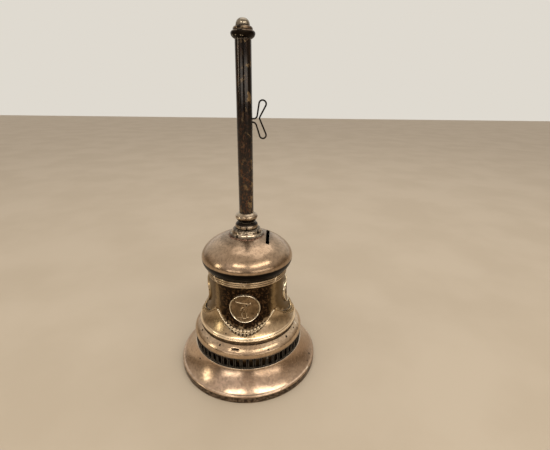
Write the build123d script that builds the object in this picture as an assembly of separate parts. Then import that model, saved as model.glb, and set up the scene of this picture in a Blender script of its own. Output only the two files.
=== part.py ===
from build123d import *

import os
from math import atan2, cos, hypot, pi, radians, sin, sqrt

# A silver-plated altar hand bell with a push-rod strike, in millimetres.
# The bell's axis is Z, the foot rim stands on Z = 0, and the finger wire points to +X.

# --- Spun casing, from the foot up -------------------------------------------------------------
FOOT_RADIUS = 54.8
FOOT_HEIGHT = 19.9
RIM_HEIGHT = 5.0
RIM_THICKNESS = 2.4
FOOT_TOP_RADIUS = 43.3
FOOT_HOLLOW = 1.2          # how far the flare of the foot dips below a straight cone
FOOT_WALL = 1.3
LAND_HEIGHT = 1.0          # the short upright land that carries the gallery

GALLERY_RADIUS = 42.7
GALLERY_WALL = 1.3
GALLERY_HEIGHT = 8.9
WINDOW_COUNT = 56
WINDOW_WIDTH = 2.7
WINDOW_HEIGHT = 6.7

SHOULDER_RADIUS = 43.1
SHOULDER_HEIGHT = 8.0
SHOULDER_WALL = 1.3
GROOVE_HEIGHT = 2.6
SPIGOT_HEIGHT = 1.5        # the shoulder's neck runs this far up inside the drum

DRUM_RADIUS = 29.4
DRUM_EDGE_RADIUS = 38.4
DRUM_EDGE_HEIGHT = 1.6
DRUM_HEIGHT = 44.6
FLARE_HEIGHT = 25.0
FLARE_POWER = 2.3
DRUM_WALL = 1.1

DOME_RADIUS = 34.4
DOME_RISE = 18.4
DOME_POWER = 1.1
DOME_UNDERSIDE = 8.0       # from the dome's lower edge up to its widest place
DOME_SEAT_RADIUS = 12.6    # the flat in the dome's top, under the handle socket
DOME_WALL = 1.2
COIN_SLOT_LENGTH = 27.0
COIN_SLOT_WIDTH = 2.6
COIN_SLOT_PLACE = 15.7     # from the axis, on the +X side

NECK_RING_HEIGHT = 8.5
NECK_RING_WALL = 1.2
NECK_RING_RISE = 3.5       # how far it stands up into the dome

# --- Applied ornament --------------------------------------------------------------------------
BAND_HEIGHT = 4.6
BAND_BELOW_DOME = 0.4
BAND_BASE = 0.3
REED_COUNT = 3
REED_DEPTH = 0.6
KNOT_COUNT = 8
KNOT_WIDTH = 4.3
KNOT_HEIGHT = 4.8
KNOT_DROP = 1.0            # the ribbon ties hang this far below the middle of the band
KNOT_DEPTH = 1.6

MEDALLION_RADIUS = 11.1
MEDALLION_DROP = 20.8      # from the dome's lower edge to the medallion's centre
MEDALLION_DEPTH = 1.0
FRAME_WIDTH = 1.05
FRAME_DEPTH = 1.7

SWAG_END_ANGLE = 43.5      # from the middle of a garland round to each end, in degrees
SWAG_SAG = 12.0
SWAG_THICKNESS = 4.4
SWAG_END_THICKNESS = 1.0
SWAG_RISE = 5.9            # from the drum's lower edge up to the middle of the garland
SWAG_DEPTH = 1.7

# --- Handle ------------------------------------------------------------------------------------
FLANGE_HEIGHT = 5.3
FLANGE_TOP_RADIUS = 9.0
SPIGOT_RADIUS = 5.5
SPIGOT_LENGTH = 5.5
DOME_NUT_HEIGHT = 3.0
DOME_NUT_ACROSS = 16.0
SOCKET_NUT_RADIUS = 8.4
SOCKET_NUT_HEIGHT = 4.8
FERRULE_RADIUS = 8.15
FERRULE_HEIGHT = 6.8
COLLAR_WAIST_RADIUS = 6.15
TUBE_RADIUS = 5.24
TUBE_WALL = 0.9
TUBE_LENGTH = 124.0
TUBE_SPIGOT_LENGTH = 8.0
FINIAL_RADIUS = 7.7
FINIAL_HEIGHT = 6.9
FINIAL_SPIGOT_LENGTH = 6.0
FINIAL_FLOOR = 0.6

# --- Push rod and its spring -------------------------------------------------------------------
PRESS_TRAVEL = 4.5
BUTTON_RADIUS = 4.5
BUTTON_RISE = 4.75
ROD_RADIUS = 1.5
COLLAR_RADIUS = 3.9
COLLAR_HEIGHT = 2.1
SPRING_LENGTH = 17.6
SPRING_RADIUS = 3.0
SPRING_WIRE_RADIUS = 0.4
SPRING_PITCH = 2.4
SPRING_SEAT_HEIGHT = 6.0
SLEEVE_RADIUS = 3.2
SLEEVE_WALL = 1.0
SLEEVE_SEAT = 2.0

# --- Finger wire -------------------------------------------------------------------------------
WIRE_RADIUS = 0.55
LEG_SPACING = 2.2
WIRE_LEG_DROP = 49.15      # from the top of the tube down to the lower leg
WIRE_HOLE_START = 2.1      # where the legs end inside the block, from the axis
BLOCK_RADIUS = 3.7
BLOCK_FLAT = 3.0
BLOCK_HEIGHT = 9.0
WIRE_SLOT_WIDTH = 2.0

# --- Striker -----------------------------------------------------------------------------------
PLATE_RISE = 5.2           # from the drum's lower edge up to the plate's underside
PLATE_THICKNESS = 1.5
PLATE_BUSH_RADIUS = 4.0
PLATE_BUSH_FLANGE = 5.2
PLATE_BUSH_HEAD = 1.4
LUG_COUNT = 3
LUG_WIDTH = 8.0
LUG_HEIGHT = 3.4
LUG_INSIDE = 3.0           # how far each lug reaches in past its screw
SCREW_RADIUS = 1.25
SCREW_HEAD_RADIUS = 2.6
SCREW_HEAD_HEIGHT = 1.5

PIVOT_DROP = 5.0           # lever centre below the plate
PIVOT_REACH = 20.0         # hinge pin to the bell's axis
HEAD_REACH = 23.0          # striking head to the bell's axis
LEVER_THICKNESS = 2.6
LEVER_HEIGHT = 3.2
LEVER_BOSS_LENGTH = 6.0
LEVER_BOSS_HEIGHT = 4.2
HUB_RADIUS = 3.0
HEAD_RADIUS = 4.0
HEAD_ROUNDING = 2.5
HEAD_ABOVE_LEVER = 1.9
HINGE_PIN_RADIUS = 1.0
FORK_RADIUS = 2.75
FORK_BELOW_PIN = 2.1
FORK_ABOVE_PIN = 4.0
FORK_SLOT_TOP = 3.0
FORK_PIN_RADIUS = 0.8
EAR_THICKNESS = 1.2
BRACKET_WIDTH = 10.0
BRACKET_THICKNESS = 1.2
BRACKET_TAIL = 9.2         # how far the bracket runs back past the hinge pin
BRACKET_RIVET_BACK = 6.2   # from the hinge pin back to the bracket's rivet
RIVET_RADIUS = 1.2
RIVET_HEAD_RADIUS = 2.3
RIVET_HEAD_HEIGHT = 1.0

GONG_RADIUS = 34.0
GONG_CROWN_RADIUS = 9.0
GONG_MOUTH_HEIGHT = 9.0    # above the table
GONG_DEPTH = 18.5
GONG_WALL = 2.0
WASHER_RADIUS = 5.0
WASHER_THICKNESS = 1.3
BRIDGE_WIDTH = 9.0
BRIDGE_HALF_SPAN = 15.2
BRIDGE_FOOT = 7.0
BRIDGE_THICKNESS = 1.4
BRIDGE_RIVET_PLACE = 18.9
STUD_RADIUS = 2.0
STUD_HEAD_RADIUS = 3.6
STUD_HEAD_HEIGHT = 0.9
STUD_END = 1.3             # thread showing past the nut
NUT_ACROSS = 8.0
NUT_HEIGHT = 3.4

# --- Fits --------------------------------------------------------------------------------------
RUNNING_FIT = 0.06         # shaft in a bush
PRESS_FIT = 0.02           # parts driven or soldered together
SPIGOT_FIT = 0.06          # a spigot in its bore
SEAM = 0.1                 # spun shells one inside the other
SIDE_PLAY = 0.3            # lever between its cheeks
SLOT_PLAY = 0.45           # wire in the tube's slot, end to end
STRIKE_GAP = 0.5           # head to gong with the button held down
BUTTON_PLAY = 0.12
BOTTOM_GAP = 0.4           # button skirt to the knob's floor with the button held down
STOP_GAP = 0.2             # rod collar to its stop at rest
APPLIED_GAP = 0.05         # solder line under the applied ornament

# --- Levels, worked out from the lengths above --------------------------------------------------
GALLERY_LEVEL = FOOT_HEIGHT
SHOULDER_LEVEL = GALLERY_LEVEL + GALLERY_HEIGHT
GROOVE_LEVEL = SHOULDER_LEVEL + SHOULDER_HEIGHT
DRUM_LEVEL = GROOVE_LEVEL + GROOVE_HEIGHT
FLARE_LEVEL = DRUM_LEVEL + DRUM_EDGE_HEIGHT
DOME_LEVEL = DRUM_LEVEL + DRUM_HEIGHT
EQUATOR_LEVEL = DOME_LEVEL + DOME_UNDERSIDE
SEAT_ANGLE = atan2(
    sqrt(1 - (DOME_SEAT_RADIUS / DOME_RADIUS) ** (2 / DOME_POWER)),
    (DOME_SEAT_RADIUS / DOME_RADIUS) ** (1 / DOME_POWER),
)
SEAT_LEVEL = EQUATOR_LEVEL + DOME_RISE * sin(SEAT_ANGLE) ** DOME_POWER
TUBE_LEVEL = SEAT_LEVEL + FLANGE_HEIGHT
FERRULE_LEVEL = TUBE_LEVEL + SOCKET_NUT_HEIGHT
FINIAL_LEVEL = TUBE_LEVEL + TUBE_LENGTH
BUTTON_LEVEL = FINIAL_LEVEL + FINIAL_HEIGHT
TUBE_BORE = TUBE_RADIUS - TUBE_WALL
NECK_RADIUS = DRUM_EDGE_RADIUS - DRUM_WALL - SEAM

COLLAR_LEVEL = FINIAL_LEVEL - FINIAL_SPIGOT_LENGTH - STOP_GAP - COLLAR_HEIGHT
SPRING_SEAT_TOP = COLLAR_LEVEL - SPRING_LENGTH
LEG_LEVEL = FINIAL_LEVEL - WIRE_LEG_DROP

PLATE_LEVEL = DRUM_LEVEL + PLATE_RISE
PLATE_TOP = PLATE_LEVEL + PLATE_THICKNESS
BUSH_TOP = PLATE_TOP + PLATE_BUSH_HEAD
PIVOT_LEVEL = PLATE_LEVEL - PIVOT_DROP
BRACKET_RIVET_PLACE = PIVOT_REACH + BRACKET_RIVET_BACK
SOCKET_FOOT = SEAT_LEVEL - SPIGOT_LENGTH
CROWN_LEVEL = GONG_MOUTH_HEIGHT + GONG_DEPTH
WEB_LEVEL = CROWN_LEVEL + WASHER_THICKNESS
WEB_TOP = WEB_LEVEL + BRIDGE_THICKNESS
NUT_TOP = CROWN_LEVEL - GONG_WALL - WASHER_THICKNESS


def turned(*curves):
    """A piece turned about the bell's axis, from a closed outline of (radius, height)."""
    edges = [edge for curve in curves for edge in curve.edges()]
    return revolve(Plane.XZ * make_face(edges), Axis.Z)


def washer(outer, inner, low, high):
    """A flat-ended ring about the bell's axis."""
    return turned(Polyline((inner, low), (outer, low), (outer, high), (inner, high), (inner, low)))


def rod(radius, low, high):
    """A plain round bar on the bell's axis."""
    return Pos(0, 0, (low + high) / 2) * Cylinder(radius, high - low)


def block(x, y, z):
    """A box from its low and high values along each axis."""
    centre = Pos((x[0] + x[1]) / 2, (y[0] + y[1]) / 2, (z[0] + z[1]) / 2)
    return centre * Box(x[1] - x[0], y[1] - y[0], z[1] - z[0])


def pin_along_y(radius, length, x, z):
    """A round pin across the lever, lying along Y."""
    return Pos(x, 0, z) * Rot(90, 0, 0) * Cylinder(radius, length)


def around(count, start=0.0):
    """Turns about the bell's axis, evenly spaced."""
    return [Rot(0, 0, start + 360 / count * step) for step in range(count)]


def inset(points, wall):
    """The points moved square to their outline by the wall, to the left of its direction."""
    moved = []
    for step, (r, z) in enumerate(points):
        before = points[max(step - 1, 0)]
        after = points[min(step + 1, len(points) - 1)]
        run, rise = after[0] - before[0], after[1] - before[1]
        length = hypot(run, rise)
        moved.append((r - wall * rise / length, z + wall * run / length))
    return moved


# --- Casing ------------------------------------------------------------------------------------
def foot_ring():
    """Spun foot: an upright rim, a rounded bead, a hollow flare and a land on top."""
    bead_end = (FOOT_RADIUS - 1.6, RIM_HEIGHT + 1.2)
    flare_end = (FOOT_TOP_RADIUS, FOOT_HEIGHT - LAND_HEIGHT)
    inner_start = (FOOT_TOP_RADIUS - FOOT_WALL - 0.4, flare_end[1] - 0.6)
    inner_end = (bead_end[0] - FOOT_WALL, RIM_HEIGHT - 0.4)
    rim_inside = FOOT_RADIUS - RIM_THICKNESS
    return turned(
        Polyline((rim_inside, 0), (FOOT_RADIUS, 0), (FOOT_RADIUS, RIM_HEIGHT)),
        ThreePointArc((FOOT_RADIUS, RIM_HEIGHT), (FOOT_RADIUS - 0.5, RIM_HEIGHT + 0.9), bead_end),
        SagittaArc(bead_end, flare_end, -FOOT_HOLLOW),
        Polyline(flare_end, (FOOT_TOP_RADIUS, FOOT_HEIGHT), (inner_start[0], FOOT_HEIGHT), inner_start),
        SagittaArc(inner_start, inner_end, FOOT_HOLLOW),
        Polyline(inner_end, (rim_inside, inner_end[1] - 1.2), (rim_inside, 0)),
    )


def pierced_gallery():
    """Ring of upright round-ended windows that lets the sound out."""
    ring = washer(GALLERY_RADIUS, GALLERY_RADIUS - GALLERY_WALL, GALLERY_LEVEL, SHOULDER_LEVEL)
    window = Plane.YZ * SlotOverall(WINDOW_HEIGHT, WINDOW_WIDTH, rotation=90)
    cutter = extrude(window, amount=3 * GALLERY_WALL)
    start = Pos(GALLERY_RADIUS - 2 * GALLERY_WALL, 0, (GALLERY_LEVEL + SHOULDER_LEVEL) / 2)
    return ring - [turn * start * cutter for turn in around(WINDOW_COUNT)]


def shoulder_ring():
    """Bulged ring over the gallery, with the groove and the spigot that enters the drum."""
    depth = SHOULDER_RADIUS - NECK_RADIUS
    outline = [(0.03, 0.0), (0.0, 0.18), (0.1, 0.45), (0.38, 0.71), (0.7, 0.9), (0.88, 1.0)]
    bulge = [(SHOULDER_RADIUS - depth * k, SHOULDER_LEVEL + SHOULDER_HEIGHT * h) for k, h in outline]
    hollow = inset(bulge, SHOULDER_WALL)
    hollow[0] = (hollow[0][0], SHOULDER_LEVEL)
    inner = NECK_RADIUS - SHOULDER_WALL
    hollow = [point for point in hollow if point[0] > inner + 0.2]
    top = DRUM_LEVEL + SPIGOT_HEIGHT
    return turned(
        Spline(*bulge),
        Polyline(bulge[-1], (NECK_RADIUS, GROOVE_LEVEL), (NECK_RADIUS, top), (inner, top),
                 (inner, hollow[-1][1] - 0.1), hollow[-1]),
        Spline(*reversed(hollow)),
        Line(hollow[0], bulge[0]),
    )


def drum_radius(level):
    """Outside radius of the drum at a height: straight above, flaring out below."""
    share = min(max((level - FLARE_LEVEL) / FLARE_HEIGHT, 0.0), 1.0)
    return DRUM_RADIUS + (DRUM_EDGE_RADIUS - DRUM_RADIUS) * (1 - share) ** FLARE_POWER


def drum_side(proud):
    """The drum's outline from its top down to its lower edge, standing proud by a distance."""
    shares = (1.0, 0.76, 0.5, 0.28, 0.12, 0.0)
    levels = [FLARE_LEVEL + FLARE_HEIGHT * share for share in shares]
    points = [(drum_radius(level) + proud, level) for level in levels]
    top, foot = (DRUM_RADIUS + proud, DOME_LEVEL), (DRUM_EDGE_RADIUS + proud, DRUM_LEVEL)
    curves = [Line(top, points[0]), Spline(*points, tangents=[(0, -1), (1, -0.8)]), Line(points[-1], foot)]
    return curves, top, foot


def drum_skin(inside, outside):
    """The layer round the drum between two distances from its outside."""
    near, near_top, near_foot = drum_side(inside)
    far, far_top, far_foot = drum_side(outside)
    return turned(*near, *far, Line(near_top, far_top), Line(near_foot, far_foot))


def dome_cap():
    """Domed lid with a turned-under edge, a flat seat on top, a hole and the coin slot."""
    steps = 6
    angles = [SEAT_ANGLE * step / steps for step in range(steps + 1)]

    def crown(radius, rise, end_radius):
        points = [
            (radius * cos(a) ** DOME_POWER, EQUATOR_LEVEL + rise * sin(a) ** DOME_POWER) for a in angles
        ]
        points[-1] = (end_radius, points[-1][1])
        return points

    outer = crown(DOME_RADIUS, DOME_RISE, DOME_SEAT_RADIUS)
    inner = crown(DOME_RADIUS - DOME_WALL, DOME_RISE - DOME_WALL, DOME_SEAT_RADIUS - DOME_WALL)
    under = DOME_RADIUS - DRUM_RADIUS
    centre = (DRUM_RADIUS, EQUATOR_LEVEL)
    lip = DRUM_RADIUS - DRUM_WALL
    hole = SPIGOT_RADIUS + SPIGOT_FIT
    lip_top = DOME_LEVEL + DOME_WALL
    cap = turned(
        Line((lip, DOME_LEVEL), (DRUM_RADIUS, DOME_LEVEL)),
        EllipticalCenterArc(centre, under, DOME_UNDERSIDE, 270, arc_size=90),
        Spline(*outer, tangents=[(0, 1), (-1, 0.22)]),
        Polyline(outer[-1], (hole, SEAT_LEVEL), (hole, inner[-1][1]), inner[-1]),
        Spline(*reversed(inner), tangents=[(1, -0.22), (0, -1)]),
        EllipticalCenterArc(centre, under - DOME_WALL, DOME_UNDERSIDE - DOME_WALL, 270, arc_size=90),
        Polyline((DRUM_RADIUS, lip_top), (lip, lip_top), (lip, DOME_LEVEL)),
    )
    slot = Pos(COIN_SLOT_PLACE, 0, SEAT_LEVEL) * Box(COIN_SLOT_WIDTH, COIN_SLOT_LENGTH, DOME_RISE)
    return cap - slot


def neck_ring():
    """Plain lining ring that lines up the drum and the dome."""
    top = DOME_LEVEL + NECK_RING_RISE
    outer = DRUM_RADIUS - DRUM_WALL - SEAM
    return washer(outer, outer - NECK_RING_WALL, top - NECK_RING_HEIGHT, top)


# --- Ornament ----------------------------------------------------------------------------------
def reeded_band():
    """Strip of half-round reeds with a ribbon tie over it at every eighth of the way round."""
    top = DOME_LEVEL - BAND_BELOW_DOME
    low = top - BAND_HEIGHT
    inner = DRUM_RADIUS + APPLIED_GAP
    base = inner + BAND_BASE
    pitch = BAND_HEIGHT / REED_COUNT
    levels = [low + pitch * reed for reed in range(REED_COUNT)]
    reeds = [
        ThreePointArc((base, z), (base + REED_DEPTH, z + pitch / 2), (base, z + pitch)) for z in levels
    ]
    band = turned(Polyline((base, top), (inner, top), (inner, low), (base, low)), *reeds)
    middle = (top + low) / 2 - KNOT_DROP
    ring = washer(inner + KNOT_DEPTH, inner + BAND_BASE / 2, middle - KNOT_HEIGHT / 2, middle + KNOT_HEIGHT / 2)
    tie = block((0, 2 * DRUM_RADIUS), (-KNOT_WIDTH / 2, KNOT_WIDTH / 2), (low - KNOT_HEIGHT, top)) & ring
    return band + [turn * tie for turn in around(KNOT_COUNT)]


def facing_disc(radius):
    """A round bar that points straight out of the drum's +X side at the medallion's height."""
    level = DOME_LEVEL - MEDALLION_DROP
    return Pos(DRUM_RADIUS + radius / 2, 0, level) * Rot(0, 90, 0) * Cylinder(radius, 2 * radius)


def medallion():
    """Struck disc that follows the drum, on the +X side."""
    return drum_skin(APPLIED_GAP, MEDALLION_DEPTH) & facing_disc(MEDALLION_RADIUS - FRAME_WIDTH)


def medallion_frame():
    """Thin raised ring round the medallion, on the +X side."""
    hole = facing_disc(MEDALLION_RADIUS - FRAME_WIDTH + PRESS_FIT)
    return (drum_skin(APPLIED_GAP, FRAME_DEPTH) & facing_disc(MEDALLION_RADIUS)) - hole


def swag():
    """Hanging garland, thick in the middle, that follows the drum's flare on the +X side."""
    middle = DRUM_LEVEL + SWAG_RISE
    ends = middle + SWAG_SAG
    half_span = drum_radius(ends) * sin(radians(SWAG_END_ANGLE))
    outline = [
        ThreePointArc(
            (-half_span, ends - SWAG_END_THICKNESS / 2),
            (0, middle - SWAG_THICKNESS / 2),
            (half_span, ends - SWAG_END_THICKNESS / 2),
        ),
        Line(
            (half_span, ends - SWAG_END_THICKNESS / 2),
            (half_span, ends + SWAG_END_THICKNESS / 2),
        ),
        ThreePointArc(
            (half_span, ends + SWAG_END_THICKNESS / 2),
            (0, middle + SWAG_THICKNESS / 2),
            (-half_span, ends + SWAG_END_THICKNESS / 2),
        ),
        Line(
            (-half_span, ends + SWAG_END_THICKNESS / 2),
            (-half_span, ends - SWAG_END_THICKNESS / 2),
        ),
    ]
    face = Plane.YZ * make_face([edge for curve in outline for edge in curve.edges()])
    return drum_skin(APPLIED_GAP, SWAG_DEPTH) & extrude(face, amount=2 * DRUM_EDGE_RADIUS)


# --- Handle ------------------------------------------------------------------------------------
def handle_socket():
    """Stepped flange on the dome; spigots pass down through it and up into the tube."""
    bore = ROD_RADIUS + RUNNING_FIT
    seat = SLEEVE_RADIUS + SPIGOT_FIT
    tube_spigot = TUBE_BORE - SPIGOT_FIT
    step = (DOME_SEAT_RADIUS, SEAT_LEVEL + 0.9)
    neck = (FLANGE_TOP_RADIUS + 1.0, TUBE_LEVEL - 1.1)
    foot = SOCKET_FOOT
    top = TUBE_LEVEL + TUBE_SPIGOT_LENGTH
    return turned(
        Polyline((seat, foot), (SPIGOT_RADIUS, foot), (SPIGOT_RADIUS, SEAT_LEVEL),
                 (DOME_SEAT_RADIUS, SEAT_LEVEL), step),
        SagittaArc(step, neck, -0.5),
        SagittaArc(neck, (FLANGE_TOP_RADIUS, TUBE_LEVEL), 0.4),
        Polyline((FLANGE_TOP_RADIUS, TUBE_LEVEL), (tube_spigot, TUBE_LEVEL), (tube_spigot, top),
                 (bore, top), (bore, foot + SLEEVE_SEAT), (seat, foot + SLEEVE_SEAT), (seat, foot)),
    )


def dome_nut():
    """Thin hexagon nut that clamps the socket from inside the dome."""
    top = EQUATOR_LEVEL + (DOME_RISE - DOME_WALL) * sin(SEAT_ANGLE) ** DOME_POWER
    face = RegularPolygon(DOME_NUT_ACROSS / 2, 6, major_radius=False) - Circle(SPIGOT_RADIUS + SPIGOT_FIT)
    return Pos(0, 0, top - DOME_NUT_HEIGHT) * extrude(face, amount=DOME_NUT_HEIGHT)


def socket_nut():
    """Rounded lower half of the collar round the foot of the tube."""
    bore = TUBE_RADIUS + SPIGOT_FIT
    r, low, h = SOCKET_NUT_RADIUS, TUBE_LEVEL, SOCKET_NUT_HEIGHT
    side = [(r - 0.2, low), (r, low + 0.3 * h), (r - 0.3, low + 0.58 * h), (r - 1.3, low + 0.84 * h),
            (COLLAR_WAIST_RADIUS, FERRULE_LEVEL)]
    return turned(Spline(*side), Polyline(side[-1], (bore, FERRULE_LEVEL), (bore, low), side[0]))


def handle_ferrule():
    """Upper bulge of the collar."""
    bore = TUBE_RADIUS + SPIGOT_FIT
    r, low, h = FERRULE_RADIUS, FERRULE_LEVEL, FERRULE_HEIGHT
    side = [(COLLAR_WAIST_RADIUS, low), (COLLAR_WAIST_RADIUS + 0.15, low + 0.14 * h),
            (r - 0.85, low + 0.28 * h), (r, low + 0.56 * h), (r - 0.6, low + 0.77 * h),
            (TUBE_RADIUS + 0.5, low + h)]
    return turned(Spline(*side), Polyline(side[-1], (bore, low + h), (bore, low), side[0]))


def handle_tube():
    """Long plated tube with a slot for the finger wire on its +X side."""
    tube = washer(TUBE_RADIUS, TUBE_BORE, TUBE_LEVEL, FINIAL_LEVEL)
    low = LEG_LEVEL - WIRE_RADIUS - SLOT_PLAY - PRESS_TRAVEL
    high = LEG_LEVEL + LEG_SPACING + WIRE_RADIUS + SLOT_PLAY
    half = WIRE_SLOT_WIDTH / 2
    return tube - block((0, 2 * TUBE_RADIUS), (-half, half), (low, high))


def handle_finial():
    """Turned knob on the tube's top, bored for the button."""
    low, top, r = FINIAL_LEVEL, BUTTON_LEVEL, FINIAL_RADIUS
    bore, bush = BUTTON_RADIUS + BUTTON_PLAY, ROD_RADIUS + RUNNING_FIT
    spigot, foot = TUBE_BORE - SPIGOT_FIT, low - FINIAL_SPIGOT_LENGTH
    floor = low + FINIAL_FLOOR
    bulge = [(TUBE_RADIUS + 0.1, low), (r - 1.3, low + 0.7), (r - 0.4, low + 1.7), (r, low + 3.0),
             (r - 0.4, low + 4.1), (r - 1.3, low + 4.65)]
    rim = (bore + 0.4, top)
    return turned(
        Spline(*bulge),
        ThreePointArc(bulge[-1], (r - 1.4, top - 1.2), rim),
        Polyline(rim, (bore, top), (bore, floor), (bush, floor), (bush, foot), (spigot, foot),
                 (spigot, low), bulge[0]),
    )


# --- Push rod ----------------------------------------------------------------------------------
def thumb_button():
    """Round-topped knob; its skirt slides in the finial."""
    low = FINIAL_LEVEL + FINIAL_FLOOR + PRESS_TRAVEL + BOTTOM_GAP
    shoulder = (BUTTON_RADIUS, BUTTON_LEVEL + 0.3)
    hole = ROD_RADIUS + PRESS_FIT
    hole_top = BUTTON_LEVEL + 1.4
    return turned(
        Polyline((hole, low), (BUTTON_RADIUS, low), shoulder),
        Spline(shoulder, (BUTTON_RADIUS - 0.35, BUTTON_LEVEL + 2.1), (BUTTON_RADIUS - 1.9, BUTTON_LEVEL + 4.0),
               (0, BUTTON_LEVEL + BUTTON_RISE), tangents=[(0, 1), (-1, 0)]),
        Polyline((0, BUTTON_LEVEL + BUTTON_RISE), (0, hole_top), (hole, hole_top), (hole, low)),
    )


def push_rod():
    """Straight rod from the button down to the fork that straddles the striker lever."""
    fork_low, fork_high = PIVOT_LEVEL - FORK_BELOW_PIN, PIVOT_LEVEL + FORK_ABOVE_PIN
    half = LEVER_THICKNESS / 2 + SIDE_PLAY
    shaft = rod(ROD_RADIUS, fork_high, BUTTON_LEVEL + 1.4 - PRESS_FIT)
    fork = rod(FORK_RADIUS, fork_low, fork_high)
    fork -= block((-FORK_RADIUS, FORK_RADIUS), (-half, half), (fork_low, PIVOT_LEVEL + FORK_SLOT_TOP))
    return shaft + fork - pin_along_y(FORK_PIN_RADIUS + PRESS_FIT, 4 * FORK_RADIUS, 0, PIVOT_LEVEL)


def fork_pin():
    """Cross pin that carries the lever along."""
    reach = sqrt(FORK_RADIUS ** 2 - FORK_PIN_RADIUS ** 2) - PRESS_FIT
    return pin_along_y(FORK_PIN_RADIUS, 2 * reach, 0, PIVOT_LEVEL)


def rod_collar():
    """Ring on the rod: the spring pushes it up against the finial's spigot."""
    return washer(COLLAR_RADIUS, ROD_RADIUS + PRESS_FIT, COLLAR_LEVEL, COLLAR_LEVEL + COLLAR_HEIGHT)


def return_spring():
    """Coil that lifts the rod after each stroke."""
    low = SPRING_SEAT_TOP + SPRING_WIRE_RADIUS + SEAM
    path = Helix(SPRING_PITCH, SPRING_LENGTH - 2 * (SPRING_WIRE_RADIUS + SEAM), SPRING_RADIUS)
    section = Plane(path @ 0, z_dir=path % 0) * Circle(SPRING_WIRE_RADIUS)
    return Pos(0, 0, low) * sweep(section, path, is_frenet=True)


def spring_seat():
    """Bush crimped in the tube: the spring stands on it and the rod runs through it."""
    low = SPRING_SEAT_TOP - SPRING_SEAT_HEIGHT
    return washer(TUBE_BORE - PRESS_FIT, ROD_RADIUS + RUNNING_FIT, low, SPRING_SEAT_TOP)


def trigger_block():
    """Block pinned on the rod behind the tube's slot, drilled for the wire's two legs."""
    middle = LEG_LEVEL + LEG_SPACING / 2
    low, high = middle - BLOCK_HEIGHT / 2, middle + BLOCK_HEIGHT / 2
    piece = washer(BLOCK_RADIUS, ROD_RADIUS + PRESS_FIT, low, high)
    piece -= block((BLOCK_FLAT, BLOCK_RADIUS), (-BLOCK_RADIUS, BLOCK_RADIUS), (low, high))
    depth = BLOCK_RADIUS - WIRE_HOLE_START
    hole = Pos(WIRE_HOLE_START + depth / 2, 0, LEG_LEVEL) * Rot(0, 90, 0)
    hole *= Cylinder(WIRE_RADIUS + PRESS_FIT, depth)
    return piece - [hole, Pos(0, 0, LEG_SPACING) * hole]


def wire_path(start, rounds, end):
    """A line that runs straight from one round to the next and bends along each of them.

    Each round is (x, z, radius, sense): sense 1 turns left along the line, -1 turns right.
    """
    stops = [(*start, 0.0, 1), *rounds, (*end, 0.0, 1)]
    legs = []
    for (ax, az, ar, asense), (bx, bz, br, bsense) in zip(stops, stops[1:]):
        run, rise = bx - ax, bz - az
        across = bsense * br - asense * ar
        along = sqrt(run ** 2 + rise ** 2 - across ** 2)
        heading = atan2(rise, run) - atan2(across, along)
        normal = (-sin(heading), cos(heading))
        legs.append((
            (ax - asense * ar * normal[0], az - asense * ar * normal[1]),
            (bx - bsense * br * normal[0], bz - bsense * br * normal[1]),
        ))
    edges = [Line(*legs[0])]
    for (x, z, radius, sense), arrive, leave in zip(rounds, legs, legs[1:]):
        first = atan2(arrive[1][1] - z, arrive[1][0] - x)
        last = atan2(leave[0][1] - z, leave[0][0] - x)
        turn = (sense * (last - first)) % (2 * pi)
        middle = first + sense * turn / 2
        edges += [
            ThreePointArc(arrive[1], (x + radius * cos(middle), z + radius * sin(middle)), leave[0]),
            Line(*leave),
        ]
    return edges


def finger_wire():
    """One length of wire bent into two narrow loops; both ends enter the block."""
    low, high = LEG_LEVEL, LEG_LEVEL + LEG_SPACING
    out = TUBE_RADIUS
    rounds = [
        (out + 0.9, high + 2.3, 2.3, 1),
        (out + 6.76, high + 9.35, 2.35, -1),
        (out + 6.36, high + 0.35, 1.65, 1),
        (out + 6.86, low - 8.35, 2.2, -1),
        (out - 0.14, low - 2.85, 2.85, 1),
    ]
    edges = wire_path((WIRE_HOLE_START, high), rounds, (WIRE_HOLE_START, low))
    path = Plane.XZ * Wire([edge for curve in edges for edge in curve.edges()])
    section = Plane(path @ 0, z_dir=path % 0) * Circle(WIRE_RADIUS)
    return sweep(section, path)


# --- Works inside the drum ---------------------------------------------------------------------
def drum_core(clearance):
    """The space inside the drum, less a clearance."""
    side, top, foot = drum_side(-DRUM_WALL - clearance)
    return turned(*side, Polyline(top, (0, top[1]), (0, foot[1]), foot))


def mechanism_plate():
    """Round plate that carries the works and floors the coin space."""
    radius = drum_radius(PLATE_TOP) - DRUM_WALL - SIDE_PLAY
    plate = rod(radius, PLATE_LEVEL, PLATE_TOP) - rod(PLATE_BUSH_RADIUS + SPIGOT_FIT, PLATE_LEVEL, PLATE_TOP)
    plate -= [at * rod(SCREW_RADIUS + SIDE_PLAY, PLATE_LEVEL, PLATE_TOP) for at in screw_places()]
    rivet = rod(RIVET_RADIUS + PRESS_FIT, PLATE_LEVEL, PLATE_TOP)
    return plate - [at * rivet for at in [*bridge_rivet_places(), Pos(-BRACKET_RIVET_PLACE, 0, 0)]]


def screw_circle():
    """Distance of the plate's screws from the axis: their heads just clear the drum."""
    head_top = PLATE_TOP + SCREW_HEAD_HEIGHT
    return drum_radius(head_top) - DRUM_WALL - SIDE_PLAY - SCREW_HEAD_RADIUS


def screw_places():
    return [turn * Pos(screw_circle(), 0, 0) for turn in around(LUG_COUNT, 90)]


def bridge_rivet_places():
    return [Pos(0, side * BRIDGE_RIVET_PLACE, 0) for side in (-1, 1)]


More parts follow.
